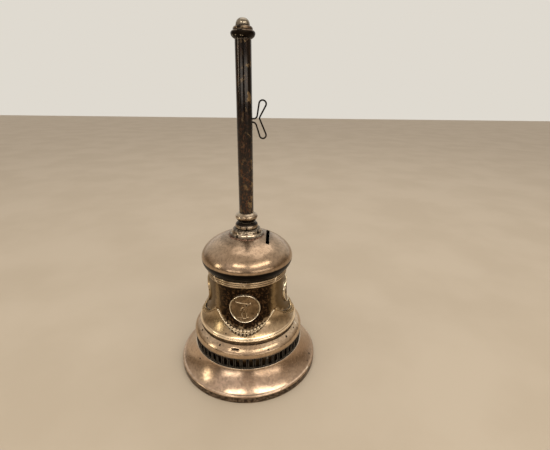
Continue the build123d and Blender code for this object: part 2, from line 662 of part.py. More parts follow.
def plate_bush():
    """Flanged guide for the rod, recessed on top for the sleeve."""
    bore, seat = ROD_RADIUS + RUNNING_FIT, SLEEVE_RADIUS + SPIGOT_FIT
    recess = BUSH_TOP - PLATE_BUSH_HEAD / 2
    return turned(Polyline(
        (bore, PLATE_LEVEL), (PLATE_BUSH_RADIUS, PLATE_LEVEL), (PLATE_BUSH_RADIUS, PLATE_TOP),
        (PLATE_BUSH_FLANGE, PLATE_TOP), (PLATE_BUSH_FLANGE, BUSH_TOP), (seat, BUSH_TOP),
        (seat, recess), (bore, recess), (bore, PLATE_LEVEL),
    ))


def rod_sleeve():
    """Tube that keeps coins off the rod, from the plate up to the handle socket."""
    low, high = BUSH_TOP - PLATE_BUSH_HEAD / 2, SOCKET_FOOT + SLEEVE_SEAT - SEAM
    return washer(SLEEVE_RADIUS, SLEEVE_RADIUS - SLEEVE_WALL, low, high)


def plate_lugs():
    """Blocks soldered inside the drum, tapped for the plate's screws."""
    low = PLATE_LEVEL - LUG_HEIGHT
    bar = block((screw_circle() - LUG_INSIDE, DRUM_EDGE_RADIUS), (-LUG_WIDTH / 2, LUG_WIDTH / 2), (low, PLATE_LEVEL))
    core = drum_core(SEAM)
    lugs = [(turn * bar) & core for turn in around(LUG_COUNT, 90)]
    hole = rod(SCREW_RADIUS + PRESS_FIT, low, PLATE_LEVEL)
    return Compound([lug.solid() for lug in [lug - place * hole for lug, place in zip(lugs, screw_places())]])


def plate_screws():
    """Cheese-head screws, slotted, down through the plate into the lugs."""
    head_top = PLATE_TOP + SCREW_HEAD_HEIGHT
    screw = rod(SCREW_RADIUS, PLATE_LEVEL - LUG_HEIGHT + PRESS_FIT, PLATE_TOP)
    screw += rod(SCREW_HEAD_RADIUS, PLATE_TOP, head_top)
    screw -= block((-SCREW_HEAD_RADIUS, SCREW_HEAD_RADIUS), (-0.3, 0.3), (head_top - 0.7, head_top))
    return Compound([(place * screw).solid() for place in screw_places()])


def rivet(low, high):
    """Round-headed rivet through two sheets."""
    return (
        rod(RIVET_RADIUS, low, high)
        + rod(RIVET_HEAD_RADIUS, low - RIVET_HEAD_HEIGHT, low)
        + rod(RIVET_HEAD_RADIUS, high, high + RIVET_HEAD_HEIGHT)
    )


def gong_bridge():
    """Bent strap that hangs the gong below the lever's path."""
    t, half = BRIDGE_THICKNESS, BRIDGE_HALF_SPAN
    tip = half + BRIDGE_FOOT
    right = [(half, WEB_LEVEL), (half, PLATE_LEVEL - t), (tip, PLATE_LEVEL - t), (tip, PLATE_LEVEL),
             (half - t, PLATE_LEVEL), (half - t, WEB_TOP)]
    left = [(-y, z) for y, z in reversed(right)]
    face = Plane.YZ * make_face(Polyline(*right, *left, right[0]).edges())
    strap = Pos(-BRIDGE_WIDTH / 2, 0, 0) * extrude(face, amount=BRIDGE_WIDTH)
    strap -= rod(STUD_RADIUS + SPIGOT_FIT, WEB_LEVEL, WEB_TOP)
    hole = rod(RIVET_RADIUS + PRESS_FIT, PLATE_LEVEL - t, PLATE_LEVEL)
    return strap - [place * hole for place in bridge_rivet_places()]


def bridge_rivets():
    piece = rivet(PLATE_LEVEL - BRIDGE_THICKNESS, PLATE_TOP)
    return Compound([(place * piece).solid() for place in bridge_rivet_places()])


def gong():
    """Shallow cast bell cup, mouth down, with a flat crown."""
    crown, mouth = GONG_CROWN_RADIUS, GONG_MOUTH_HEIGHT
    centre, span = (crown, mouth), GONG_RADIUS - crown
    hole, inner_top = STUD_RADIUS + SPIGOT_FIT, CROWN_LEVEL - GONG_WALL
    return turned(
        EllipticalCenterArc(centre, span, GONG_DEPTH, 0, arc_size=90),
        Polyline((crown, CROWN_LEVEL), (hole, CROWN_LEVEL), (hole, inner_top), (crown, inner_top)),
        EllipticalCenterArc(centre, span - GONG_WALL, GONG_DEPTH - GONG_WALL, 0, arc_size=90),
        Line((GONG_RADIUS, mouth), (GONG_RADIUS - GONG_WALL, mouth)),
    )


def gong_stud():
    """Flat-headed stud down through the bridge, the gong and its washers."""
    return rod(STUD_RADIUS, NUT_TOP - NUT_HEIGHT - STUD_END, WEB_TOP) + rod(
        STUD_HEAD_RADIUS, WEB_TOP, WEB_TOP + STUD_HEAD_HEIGHT
    )


def gong_washers():
    """Two leather washers that keep the gong free to ring."""
    bore = STUD_RADIUS + SPIGOT_FIT
    upper = washer(WASHER_RADIUS, bore, CROWN_LEVEL, WEB_LEVEL)
    lower = washer(WASHER_RADIUS, bore, NUT_TOP, CROWN_LEVEL - GONG_WALL)
    return Compound([upper.solid(), lower.solid()])


def gong_nut():
    """Hexagon nut under the gong."""
    face = RegularPolygon(NUT_ACROSS / 2, 6, major_radius=False) - Circle(STUD_RADIUS + PRESS_FIT)
    return Pos(0, 0, NUT_TOP - NUT_HEIGHT) * extrude(face, amount=NUT_HEIGHT)


# --- Striker -----------------------------------------------------------------------------------
def hammer_bracket():
    """Two ears below a small riveted plate: the lever hinges between them."""
    inner = LEVER_THICKNESS / 2 + SIDE_PLAY
    half = HUB_RADIUS + 0.5
    base_low = PLATE_LEVEL - BRACKET_THICKNESS
    piece = block((-PIVOT_REACH - BRACKET_TAIL, half - PIVOT_REACH), (-BRACKET_WIDTH / 2, BRACKET_WIDTH / 2),
                  (base_low, PLATE_LEVEL))
    for side in (-1, 1):
        cheek = sorted((side * inner, side * (inner + EAR_THICKNESS)))
        piece += block((-PIVOT_REACH - half, half - PIVOT_REACH), cheek, (PIVOT_LEVEL, base_low))
        middle = side * (inner + EAR_THICKNESS / 2)
        piece += Pos(0, middle, 0) * pin_along_y(half, EAR_THICKNESS, -PIVOT_REACH, PIVOT_LEVEL)
    piece -= pin_along_y(HINGE_PIN_RADIUS + PRESS_FIT, BRACKET_WIDTH, -PIVOT_REACH, PIVOT_LEVEL)
    return piece - Pos(-BRACKET_RIVET_PLACE, 0, 0) * rod(RIVET_RADIUS + PRESS_FIT, base_low, PLATE_LEVEL)


def bracket_rivet():
    return Pos(-BRACKET_RIVET_PLACE, 0, 0) * rivet(PLATE_LEVEL - BRACKET_THICKNESS, PLATE_TOP)


def hinge_pin():
    """Pin through both ears and the lever's hub."""
    return pin_along_y(HINGE_PIN_RADIUS, LEVER_THICKNESS + 2 * SIDE_PLAY + 3 * EAR_THICKNESS,
                       -PIVOT_REACH, PIVOT_LEVEL)


def lever_bar(play=0.0):
    """The straight part of the lever, or the slot that takes it when given some play."""
    half, rise = LEVER_THICKNESS / 2 + play, LEVER_HEIGHT / 2 + play
    return block((-PIVOT_REACH, HEAD_REACH + 0.6 * HEAD_RADIUS), (-half, half),
                 (PIVOT_LEVEL - rise, PIVOT_LEVEL + rise))


def hammer_lever():
    """Flat lever: hub at one end, a slotted boss for the rod's pin, the head at the other."""
    boss_half = LEVER_BOSS_LENGTH / 2
    half = LEVER_THICKNESS / 2
    rise = LEVER_BOSS_HEIGHT / 2
    lever = lever_bar() + pin_along_y(HUB_RADIUS, LEVER_THICKNESS, -PIVOT_REACH, PIVOT_LEVEL)
    lever += block((-boss_half, boss_half), (-half, half), (PIVOT_LEVEL - rise, PIVOT_LEVEL + rise))
    lever -= pin_along_y(HINGE_PIN_RADIUS + RUNNING_FIT, LEVER_BOSS_LENGTH, -PIVOT_REACH, PIVOT_LEVEL)
    swing = PRESS_TRAVEL / PIVOT_REACH
    stretch = PIVOT_REACH * (1 / cos(swing) - 1) + SIDE_PLAY
    slot_half = FORK_PIN_RADIUS + SIDE_PLAY
    slot = block((-slot_half, slot_half + stretch), (-half, half),
                 (PIVOT_LEVEL - slot_half, PIVOT_LEVEL + slot_half))
    return lever - slot


def head_foot_level():
    """How high the head's foot stands at rest, so that it just clears the gong when struck."""
    swing = PRESS_TRAVEL / PIVOT_REACH
    arm = PIVOT_REACH + HEAD_REACH - HEAD_RADIUS + HEAD_ROUNDING      # to the inner edge of its flat foot
    drop = 0.0
    for _ in range(8):
        place = arm * cos(swing) - drop * sin(swing) - PIVOT_REACH
        share = (place - GONG_CROWN_RADIUS) / (GONG_RADIUS - GONG_CROWN_RADIUS)
        gong_level = GONG_MOUTH_HEIGHT + GONG_DEPTH * sqrt(1 - share ** 2)
        drop = (PIVOT_LEVEL - gong_level - STRIKE_GAP - arm * sin(swing)) / cos(swing)
    return PIVOT_LEVEL - drop


def hammer_head():
    """Round brass head on the lever's end, rounded where it meets the gong."""
    low, high = head_foot_level(), PIVOT_LEVEL + LEVER_HEIGHT / 2 + HEAD_ABOVE_LEVER
    head = Pos(HEAD_REACH, 0, 0) * rod(HEAD_RADIUS, low, high)
    head = fillet(head.edges().sort_by(Axis.Z)[0], HEAD_ROUNDING)
    return head - lever_bar(PRESS_FIT)


SIDES = {"front": -90, "right": 0, "back": 90, "left": 180}

pieces = {
    "foot_ring": foot_ring(),
    "pierced_gallery": pierced_gallery(),
    "shoulder_ring": shoulder_ring(),
    "drum": drum_skin(-DRUM_WALL, 0),
    "neck_ring": neck_ring(),
    "dome_cap": dome_cap(),
    "reeded_band": reeded_band(),
    "handle_socket": handle_socket(),
    "dome_nut": dome_nut(),
    "socket_nut": socket_nut(),
    "handle_ferrule": handle_ferrule(),
    "handle_tube": handle_tube(),
    "handle_finial": handle_finial(),
    "thumb_button": thumb_button(),
    "push_rod": push_rod(),
    "fork_pin": fork_pin(),
    "rod_collar": rod_collar(),
    "return_spring": return_spring(),
    "spring_seat": spring_seat(),
    "trigger_block": trigger_block(),
    "finger_wire": finger_wire(),
    "mechanism_plate": mechanism_plate(),
    "plate_bush": plate_bush(),
    "rod_sleeve": rod_sleeve(),
    "plate_lugs": plate_lugs(),
    "plate_screws": plate_screws(),
    "gong_bridge": gong_bridge(),
    "bridge_rivets": bridge_rivets(),
    "gong": gong(),
    "gong_stud": gong_stud(),
    "gong_washers": gong_washers(),
    "gong_nut": gong_nut(),
    "hammer_bracket": hammer_bracket(),
    "bracket_rivet": bracket_rivet(),
    "hinge_pin": hinge_pin(),
    "hammer_lever": hammer_lever(),
    "hammer_head": hammer_head(),
}
disc, frame, garland = medallion(), medallion_frame(), swag()
for side, angle in SIDES.items():
    pieces[f"medallion_{side}"] = Rot(0, 0, angle) * disc
    pieces[f"medallion_frame_{side}"] = Rot(0, 0, angle) * frame
    pieces[f"swag_{side}"] = Rot(0, 0, angle) * garland

os.makedirs("parts", exist_ok=True)
for name, piece in pieces.items():
    export_step(piece, f"parts/{name}.step")
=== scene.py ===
import math
import random

import bmesh
import bpy
import numpy as np
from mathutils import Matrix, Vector


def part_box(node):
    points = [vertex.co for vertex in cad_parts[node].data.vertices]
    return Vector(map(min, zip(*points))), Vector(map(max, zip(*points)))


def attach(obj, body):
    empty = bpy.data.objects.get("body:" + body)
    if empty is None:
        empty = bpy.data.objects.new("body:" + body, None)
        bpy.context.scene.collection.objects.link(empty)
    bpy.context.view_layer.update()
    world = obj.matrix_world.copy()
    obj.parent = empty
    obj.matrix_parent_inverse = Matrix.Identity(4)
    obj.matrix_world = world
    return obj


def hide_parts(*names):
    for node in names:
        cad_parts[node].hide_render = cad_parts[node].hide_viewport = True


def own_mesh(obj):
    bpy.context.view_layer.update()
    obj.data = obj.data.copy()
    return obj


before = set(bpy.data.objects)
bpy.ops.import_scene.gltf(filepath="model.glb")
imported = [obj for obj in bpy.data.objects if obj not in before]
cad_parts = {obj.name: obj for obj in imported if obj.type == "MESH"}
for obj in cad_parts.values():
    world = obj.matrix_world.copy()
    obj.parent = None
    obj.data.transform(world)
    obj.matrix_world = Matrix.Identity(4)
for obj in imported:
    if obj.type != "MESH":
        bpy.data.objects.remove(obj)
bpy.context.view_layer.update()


# --- Camera, floor and studio light ---------------------------------------------------------------
# The bell stands on a pale table and is seen from in front and a little above, as a person
# standing at the table would see it. Soft panels round it give the plate something to mirror.
camera = bpy.data.objects.new("camera", bpy.data.cameras.new("camera"))
camera.data.sensor_width = 36
camera.data.lens = 22.58
camera.data.clip_start = 0.01
camera.location = (0.0210, -0.2393, 0.2068)
camera.rotation_mode = "XYZ"
camera.rotation_euler = (math.radians(69.14), 0, 0)
camera.rotation_euler.rotate_axis("Z", math.radians(0.64))
bpy.context.scene.collection.objects.link(camera)
bpy.context.scene.camera = camera
bpy.context.scene.view_settings.view_transform = "Standard"


def put(tree, socket, value):
    """Sets a socket to a plain value, or links it when the value is another node's output."""
    if isinstance(value, bpy.types.NodeSocket):
        tree.links.new(value, socket)
    elif socket.type == "RGBA":
        socket.default_value = (*value, 1)
    else:
        socket.default_value = value


def node(tree, kind, inputs=None, **settings):
    """A new shader node with its settings and its inputs, by name or by number."""
    made = tree.nodes.new(kind)
    for key, value in settings.items():
        setattr(made, key, value)
    for key, value in (inputs or {}).items():
        put(tree, made.inputs[key], value)
    return made


def blank_material(name):
    """A new material, its node tree and its Principled shader."""
    made = bpy.data.materials.new(name)
    made.use_nodes = True
    return made, made.node_tree, made.node_tree.nodes["Principled BSDF"]


def link_piece(name, mesh):
    made = bpy.data.objects.new(name, mesh)
    bpy.context.scene.collection.objects.link(made)
    return made


def mixed(tree, factor, under, over):
    """The colour under, covered by the colour over where the factor is 1."""
    mix = node(tree, "ShaderNodeMix", data_type="RGBA")
    for socket, value in zip((mix.inputs[0], mix.inputs[6], mix.inputs[7]), (factor, under, over)):
        put(tree, socket, value)
    return mix.outputs[2]


def ranged(tree, value, low, high, to_low=0.0, to_high=1.0):
    """Carries the range low..high over to to_low..to_high, eased at both ends."""
    return node(tree, "ShaderNodeMapRange", {0: value, 1: low, 2: high, 3: to_low, 4: to_high},
                interpolation_type="SMOOTHSTEP").outputs[0]


def calc(tree, operation, *values):
    """The result of one maths step on up to three values."""
    return node(tree, "ShaderNodeMath", dict(enumerate(values)), operation=operation).outputs[0]


def times(tree, first, second):
    return calc(tree, "MULTIPLY", first, second)


def own_place(tree):
    """Where the point lies on its own piece, in metres."""
    return node(tree, "ShaderNodeTexCoord").outputs["Object"]


def noise(tree, scale, detail=2.0, place=None, **more):
    place = own_place(tree) if place is None else place
    inputs = {"Vector": place, "Scale": scale, "Detail": detail, **more}
    return node(tree, "ShaderNodeTexNoise", inputs).outputs[0]


def separate(tree, vector):
    return node(tree, "ShaderNodeSeparateXYZ", {0: vector}).outputs


def bumped(tree, shader, height, strength, distance):
    bump = node(tree, "ShaderNodeBump", {"Height": height, "Strength": strength, "Distance": distance})
    put(tree, shader.inputs["Normal"], bump.outputs[0])


def table_cloth():
    made, tree, shader = blank_material("table_top")
    broad, fine = noise(tree, 9, 5), noise(tree, 900, 3)
    put(tree, shader.inputs["Base Color"],
        mixed(tree, ranged(tree, broad, 0.35, 0.65), (0.56, 0.49, 0.395), (0.60, 0.53, 0.435)))
    put(tree, shader.inputs["Roughness"], ranged(tree, fine, 0.3, 0.7, 0.62, 0.75))
    bumped(tree, shader, fine, 0.12, 0.0004)
    return made


FLOOR_HALF = 3.0
floor_mesh = bpy.data.meshes.new("floor")
floor_corners = [(x, y, 0) for x in (-FLOOR_HALF, FLOOR_HALF) for y in (-FLOOR_HALF, FLOOR_HALF)]
floor_mesh.from_pydata(floor_corners, [], [(0, 2, 3, 1)])
floor_mesh.materials.append(table_cloth())
link_piece("floor", floor_mesh)

world = bpy.data.worlds.new("studio")
world.use_nodes = True
bpy.context.scene.world = world
sky = world.node_tree
direction = separate(sky, node(sky, "ShaderNodeTexCoord").outputs["Generated"])
front_wall = mixed(sky, ranged(sky, direction["Z"], 0.05, 0.42), (0.075, 0.058, 0.042), (0.64, 0.55, 0.48))
side_wall = mixed(sky, ranged(sky, direction["Z"], 0.08, 0.50), (0.21, 0.155, 0.10), (0.58, 0.50, 0.41))
back_wall, ceiling = (0.74, 0.70, 0.63), (0.60, 0.52, 0.43)
walls = mixed(sky, ranged(sky, direction["Y"], -0.40, 0.45), front_wall, back_wall)
walls = mixed(sky, ranged(sky, calc(sky, "ABSOLUTE", direction["X"]), 0.66, 0.92), walls, side_wall)
put(sky, sky.nodes["Background"].inputs["Color"],
    mixed(sky, ranged(sky, direction["Z"], 0.45, 0.95), walls, ceiling))

PANELS = (
    # azimuth from the front towards +X, elevation, distance, width, height, brightness, colour
    (-70, 15, 1.0, 0.12, 0.27, 6.2, (1.0, 0.93, 0.72)),
    (-26, 9, 1.0, 0.58, 0.13, 2.4, (1.0, 0.90, 0.76)),
    (37, 9, 1.0, 0.84, 0.13, 2.6, (1.0, 0.90, 0.76)),
    (-21, 45, 1.0, 0.42, 0.18, 4.8, (1.0, 0.91, 0.76)),
    (42, 44, 1.0, 0.78, 0.18, 4.8, (1.0, 0.91, 0.76)),
    (160, 70, 1.1, 1.0, 1.0, 0.8, (1.0, 0.94, 0.86)),
)
for number, (azimuth, elevation, distance, width, height, brightness, colour) in enumerate(PANELS):
    panel = bpy.data.lights.new(f"panel_{number}", "AREA")
    panel.shape, panel.size, panel.size_y = "RECTANGLE", width, height
    panel.energy, panel.color = math.pi * width * height * brightness, colour
    a, e = math.radians(azimuth), math.radians(elevation)
    towards = Vector((math.sin(a) * math.cos(e), -math.cos(a) * math.cos(e), math.sin(e)))
    lamp = link_piece(f"panel_{number}", panel)
    lamp.location = Vector((0, 0, 0.09)) + distance * towards
    lamp.rotation_euler = towards.to_track_quat("Z", "Y").to_euler()


# --- Foot -----------------------------------------------------------------------------------------
# Spun brass, silver plated: an upright rim, a rounded bead and a hollow flare that rises to a
# short land. It is the heaviest shell and takes the most handling, so its arrises are rubbed bright.
def shader_group(name, build, output="Mask", **inputs):
    """A new shader node group with named inputs and their defaults, and one output."""
    group = bpy.data.node_groups.new(name, "ShaderNodeTree")
    for key, default in inputs.items():
        socket = group.interface.new_socket(key, in_out="INPUT", socket_type="NodeSocketFloat")
        socket.default_value = default
    group.interface.new_socket(output, in_out="OUTPUT", socket_type="NodeSocketFloat")
    given = group.nodes.new("NodeGroupInput").outputs
    put(group, group.nodes.new("NodeGroupOutput").inputs[output], build(group, given))
    return group


def tarnish_cloud(group, given):
    """Patches of tarnish: 1 inside a patch. A lower threshold spreads them."""
    stretch = node(group, "ShaderNodeCombineXYZ", {0: 1.0, 1: 1.0, 2: given["Stretch"]}).outputs[0]
    place = node(group, "ShaderNodeVectorMath", {0: own_place(group), 1: stretch}, operation="MULTIPLY")
    cloud = noise(group, given["Scale"], 7, place.outputs[0], Roughness=0.62, Distortion=0.5)
    return ranged(group, cloud, calc(group, "SUBTRACT", given["Threshold"], given["Softness"]),
                  calc(group, "ADD", given["Threshold"], given["Softness"]))


def spin_lines(group, given):
    """Fine rings left by spinning and polishing on the lathe, about the Z axis."""
    place = separate(group, own_place(group))
    flat = node(group, "ShaderNodeCombineXYZ", {0: place["X"], 1: place["Y"]}).outputs[0]
    radius = node(group, "ShaderNodeVectorMath", {0: flat}, operation="LENGTH").outputs["Value"]
    return noise(group, given["Scale"], 2,
                 node(group, "ShaderNodeCombineXYZ", {0: radius, 1: place["Z"]}).outputs[0])


def rubbed_hairlines(group, given):
    """Short crossing scratches from years of cloths."""
    heights = []
    for turn, squeeze in (((0.3, 0.5, 0.2), (1, 1, 14)), ((1.1, -0.4, 1.9), (1, 12, 1))):
        place = node(group, "ShaderNodeMapping",
                     {"Vector": own_place(group), "Rotation": turn, "Scale": squeeze}).outputs[0]
        heights.append(noise(group, given["Scale"], 3, place))
    return times(group, *heights)


def corrosion_pits(group, given):
    """Small round pits where the plate has gone: 1 in a pit."""
    cells = node(group, "ShaderNodeTexVoronoi",
                 {"Vector": own_place(group), "Scale": calc(group, "DIVIDE", 1.0, given["Spacing"])}).outputs
    pick = node(group, "ShaderNodeSeparateColor", {0: cells["Color"]}).outputs[0]
    inner = times(group, given["Size"], 0.6)
    hole = ranged(group, cells["Distance"], inner, given["Size"], 1.0, 0.0)
    return times(group, hole, calc(group, "LESS_THAN", pick, given["Share"]))


def recess_dirt_and_shade(group, given):
    """Dirt and black sulphide in the corners that a cloth can't reach, together with painted shade: darker where
    the ambient occlusion closes in.
    """
    openness = node(group, "ShaderNodeAmbientOcclusion", {"Distance": given["Reach"]}, samples=8).outputs["AO"]
    worn = calc(group, "MULTIPLY_ADD", noise(group, 700, 4), 0.5, openness)
    return times(group, ranged(group, worn, 0.80, 1.15, 1.0, 0.0), given["Amount"])


def rubbed_edge(group, given):
    """Arrises and raised work rubbed down to bright metal."""
    sharpness = node(group, "ShaderNodeNewGeometry").outputs["Pointiness"]
    return ranged(group, sharpness, given["Low"], given["High"])


def height_band(group, given):
    """1 between two heights above the table, fading raggedly over the softness."""
    low, high, soft = given["Low"], given["High"], given["Softness"]
    grain = calc(group, "SUBTRACT", noise(group, 420, 6, Roughness=0.65), 0.5)
    level = calc(group, "MULTIPLY_ADD", grain, soft, separate(group, own_place(group))["Z"])
    rise = ranged(group, level, calc(group, "SUBTRACT", low, soft), low)
    fall = ranged(group, level, high, calc(group, "ADD", high, soft), 1.0, 0.0)
    return times(group, rise, fall)


def sunk_radius(group, given):
    """1 nearer to the bell's axis than a radius: the floor of turned grooves."""
    flat = node(group, "ShaderNodeVectorMath", {0: own_place(group), 1: (1, 1, 0)}, operation="MULTIPLY")
    radius = node(group, "ShaderNodeVectorMath", {0: flat.outputs[0]}, operation="LENGTH").outputs["Value"]
    outer = calc(group, "ADD", given["Radius"], given["Softness"])
    return ranged(group, radius, given["Radius"], outer, 1.0, 0.0)


def stain_spot(group, given):
    """One stain at a place in metres, with a ragged edge: 1 inside."""
    middle = node(group, "ShaderNodeCombineXYZ", {0: given["X"], 1: given["Y"], 2: given["Z"]}).outputs[0]
    gap = node(group, "ShaderNodeVectorMath", {0: own_place(group), 1: middle}, operation="DISTANCE")
    share = calc(group, "DIVIDE", gap.outputs["Value"], given["Size"])
    return ranged(group, calc(group, "MULTIPLY_ADD", noise(group, 900, 3), 1.1, share), 1.05, 1.5, 1.0, 0.0)


CLOUD = shader_group("tarnish cloud", tarnish_cloud, Scale=60.0, Threshold=0.5, Softness=0.1, Stretch=1.0)
SPIN = shader_group("spin lines", spin_lines, "Height", Scale=1500.0)
HAIRLINES = shader_group("rubbed hairlines", rubbed_hairlines, "Height", Scale=260.0)
PITS = shader_group("corrosion pits", corrosion_pits, Spacing=0.006, Size=0.1, Share=0.4)
CORNER_DIRT_AND_SHADE = shader_group("recess dirt and shade", recess_dirt_and_shade, Reach=0.003, Amount=1.0)
RUBBED = shader_group("rubbed edge", rubbed_edge, Low=0.51, High=0.56)
BAND = shader_group("height band", height_band, Low=0.0, High=0.01, Softness=0.001)
SUNK = shader_group("sunk radius", sunk_radius, Radius=0.03, Softness=0.0002)
STAIN = shader_group("stain spot", stain_spot, X=0.0, Y=0.0, Z=0.0, Size=0.001)


def effect(tree, group, **inputs):
    """A node group placed in a material with its own values; gives its output."""
    return node(tree, "ShaderNodeGroup", inputs, node_tree=group).outputs[0]


def clouded(tree, scale, threshold, softness, stretch=1.0):
    return effect(tree, CLOUD, Scale=scale, Threshold=threshold, Softness=softness, Stretch=stretch)


def most(tree, *masks):
    """The strongest of several masks."""
    strongest = masks[0]
    for mask in masks[1:]:
        strongest = calc(tree, "MAXIMUM", strongest, mask)
    return strongest


def silver_plate(name, clean, toned, black=(0.0050, 0.0030, 0.0020), bright=(0.92, 0.82, 0.68),
                 toning=(38, 0.5, 0.16), blackening=(150, 0.62, 0.06), black_share=1.0, dirt_and_shade=(0.004, 1.0),
                 rubbed=(0.515, 0.56), rubbed_share=0.8, rough=(0.20, 0.42), pits=(0.007, 0.10, 0.35),
                 lines=0.25, mottle=0.45, dark_bands=(), sunk=None, stains=()):
    """Old silver plate: clean metal, brown toning in clouds, black sulphide in patches and corners; the darkening
    in corners and some dark bands is partly painted shade.

    toning and blackening are a cloud's scale, threshold and softness; dirt_and_shade its reach and amount;
    dark_bands are (low, high, softness, share) in metres, and stains (x, y, z, size) in millimetres.
    """
    made, tree, shader = blank_material(name)
    cloud, patches = clouded(tree, *toning), clouded(tree, *blackening)
    corners = effect(tree, CORNER_DIRT_AND_SHADE, Reach=dirt_and_shade[0], Amount=dirt_and_shade[1])
    broken = ranged(tree, clouded(tree, 620, 0.52, 0.12), 0.0, 1.0, 1.0, 0.62)
    dark = []
    for low, high, soft, share in dark_bands:
        band = times(tree, effect(tree, BAND, Low=low, High=high, Softness=soft), share)
        dark.append(times(tree, band, broken if share < 0.97 else 1.0))
    dark += [effect(tree, STAIN, X=0.001 * x, Y=0.001 * y, Z=0.001 * z, Size=0.001 * size)
             for x, y, z, size in stains]
    if sunk:
        dark.append(effect(tree, SUNK, Radius=0.001 * sunk, Softness=0.00018))
    # Black patches, occlusion-darkened corners and dark bands together: sulphide, with painted shade in the corners
    # and some bands.
    sulphide_and_shade = most(tree, times(tree, patches, black_share), corners, *dark)
    freckles = times(tree, clouded(tree, 430, 0.53, 0.12), mottle)
    edge = times(tree, effect(tree, RUBBED, Low=rubbed[0], High=rubbed[1]), rubbed_share)
    holes = effect(tree, PITS, Spacing=pits[0], Size=pits[1], Share=pits[2])
    hairlines = effect(tree, HAIRLINES, Scale=260)

    metal = mixed(tree, cloud, clean, toned)
    metal = mixed(tree, freckles, metal, tuple(0.55 * channel for channel in toned))
    metal = mixed(tree, sulphide_and_shade, metal, black)
    metal = mixed(tree, edge, metal, bright)
    put(tree, shader.inputs["Base Color"], mixed(tree, holes, metal, tuple(0.7 * channel for channel in black)))

    roughness = node(tree, "ShaderNodeMix",
                     {0: most(tree, times(tree, cloud, 0.35), sulphide_and_shade, holes),
                      2: ranged(tree, hairlines, 0.1, 0.5, rough[0] - 0.04, rough[0] + 0.05), 3: rough[1]},
                     data_type="FLOAT")
    put(tree, shader.inputs["Roughness"], roughness.outputs[0])
    put(tree, shader.inputs["Metallic"], ranged(tree, most(tree, sulphide_and_shade, holes), 0.0, 1.0, 1.0, 0.85))
    shader.inputs["Specular IOR Level"].default_value = 0.2

    skin = calc(tree, "MULTIPLY_ADD", effect(tree, SPIN, Scale=1500), lines, times(tree, hairlines, 0.35))
    skin = calc(tree, "MULTIPLY_ADD", patches, 0.3, calc(tree, "MULTIPLY_ADD", holes, -2.5, skin))
    bumped(tree, shader, skin, 0.35, 0.00006)
    return made


def reach(name):
    """A turned CAD node's radius, lowest and highest level, in millimetres."""
    low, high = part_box(name)
    return 1000 * max(high.x, high.y), 1000 * low.z, 1000 * high.z


def straight(start, end, steps=8):
    return [tuple(np.array(start) + (np.array(end) - np.array(start)) * k / steps) for k in range(steps + 1)]


def dished(start, end, dip, steps=24):
    """A curve between two points that dips to the right of its direction by a distance."""
    run, rise = end[0] - start[0], end[1] - start[1]
    length = math.hypot(run, rise)
    shares = [k / steps for k in range(steps + 1)]
    return [(start[0] + run * t + 4 * t * (1 - t) * dip * rise / length,
             start[1] + rise * t - 4 * t * (1 - t) * dip * run / length) for t in shares]


def flowing(points, steps=6):
    """A smooth curve through all the points."""
    p = [np.array(q, float) for q in points]
    p = [2 * p[0] - p[1], *p, 2 * p[-1] - p[-2]]
    curve = []
    for a, b, c, d in zip(p, p[1:], p[2:], p[3:]):
        for t in (k / steps for k in range(steps)):
            curve.append(tuple(0.5 * (2 * b + (c - a) * t + (2 * a - 5 * b + 4 * c - d) * t ** 2
                                      + (3 * b - a - 3 * c + d) * t ** 3)))
    return [*curve, tuple(p[-2])]


def eased(corner, before, after, radius=0.3, steps=4):
    """The rounding that replaces a corner between its two neighbours."""
    c, a, b = (np.array(q, float) for q in (corner, before, after))
    to_a, to_b = (a - c) / np.linalg.norm(a - c), (b - c) / np.linalg.norm(b - c)
    start, end = c + to_a * radius, c + to_b * radius
    shares = [k / steps for k in range(steps + 1)]
    return [tuple((1 - t) ** 2 * start + 2 * t * (1 - t) * c + t ** 2 * end) for t in shares]


def shell(name, points, faces, material, sharp=40):
    """A closed mesh piece from points in millimetres, with its outside facing out."""
    mesh = bpy.data.meshes.new(name)
    mesh.from_pydata([tuple(0.001 * c for c in p) for p in points], [], faces)
    work = bmesh.new()
    work.from_mesh(mesh)
    bmesh.ops.remove_doubles(work, verts=work.verts, dist=2e-7)
    bmesh.ops.recalc_face_normals(work, faces=work.faces)
    work.to_mesh(mesh)
    work.free()
    mesh.shade_smooth()
    mesh.set_sharp_from_angle(angle=math.radians(sharp))
    mesh.materials.append(material)
    return link_piece(name, mesh)


def skinned(rows, looped=True, closed=False, capped=False):
    """Points and faces of a skin over rows of points. A row can join its own end, the last row the first."""
    across, count = len(rows[0]), len(rows)
    faces = []
    for k in range(count if closed else count - 1):
        here, there = k * across, (k + 1) % count * across
        for j in range(across if looped else across - 1):
            i = (j + 1) % across
            faces.append((here + j, here + i, there + i, there + j))
    if capped:
        faces += [tuple(range(across)), tuple(reversed(range((count - 1) * across, count * across)))]
    return [point for row in rows for point in row], faces


def gathered(parts):
    """Several sets of points and faces as one."""
    points, faces = [], []
    for more_points, more_faces in parts:
        start = len(points)
        points += more_points
        faces += [tuple(start + k for k in face) for face in more_faces]
    return points, faces


def turned(name, outline, material, segments=224, bend=None, sharp=40):
    """A piece turned about the bell's axis from a closed outline of (radius, height)."""
    outline = [p for k, p in enumerate(outline) if math.dist(p, outline[k - 1]) > 1e-4]
    angles = [2 * math.pi * k / segments for k in range(segments)]
    points, faces = skinned([[(r * math.cos(a), r * math.sin(a), z) for r, z in outline] for a in angles],
                            closed=True)
    return shell(name, [bend(*p) for p in points] if bend else points, faces, material, sharp)


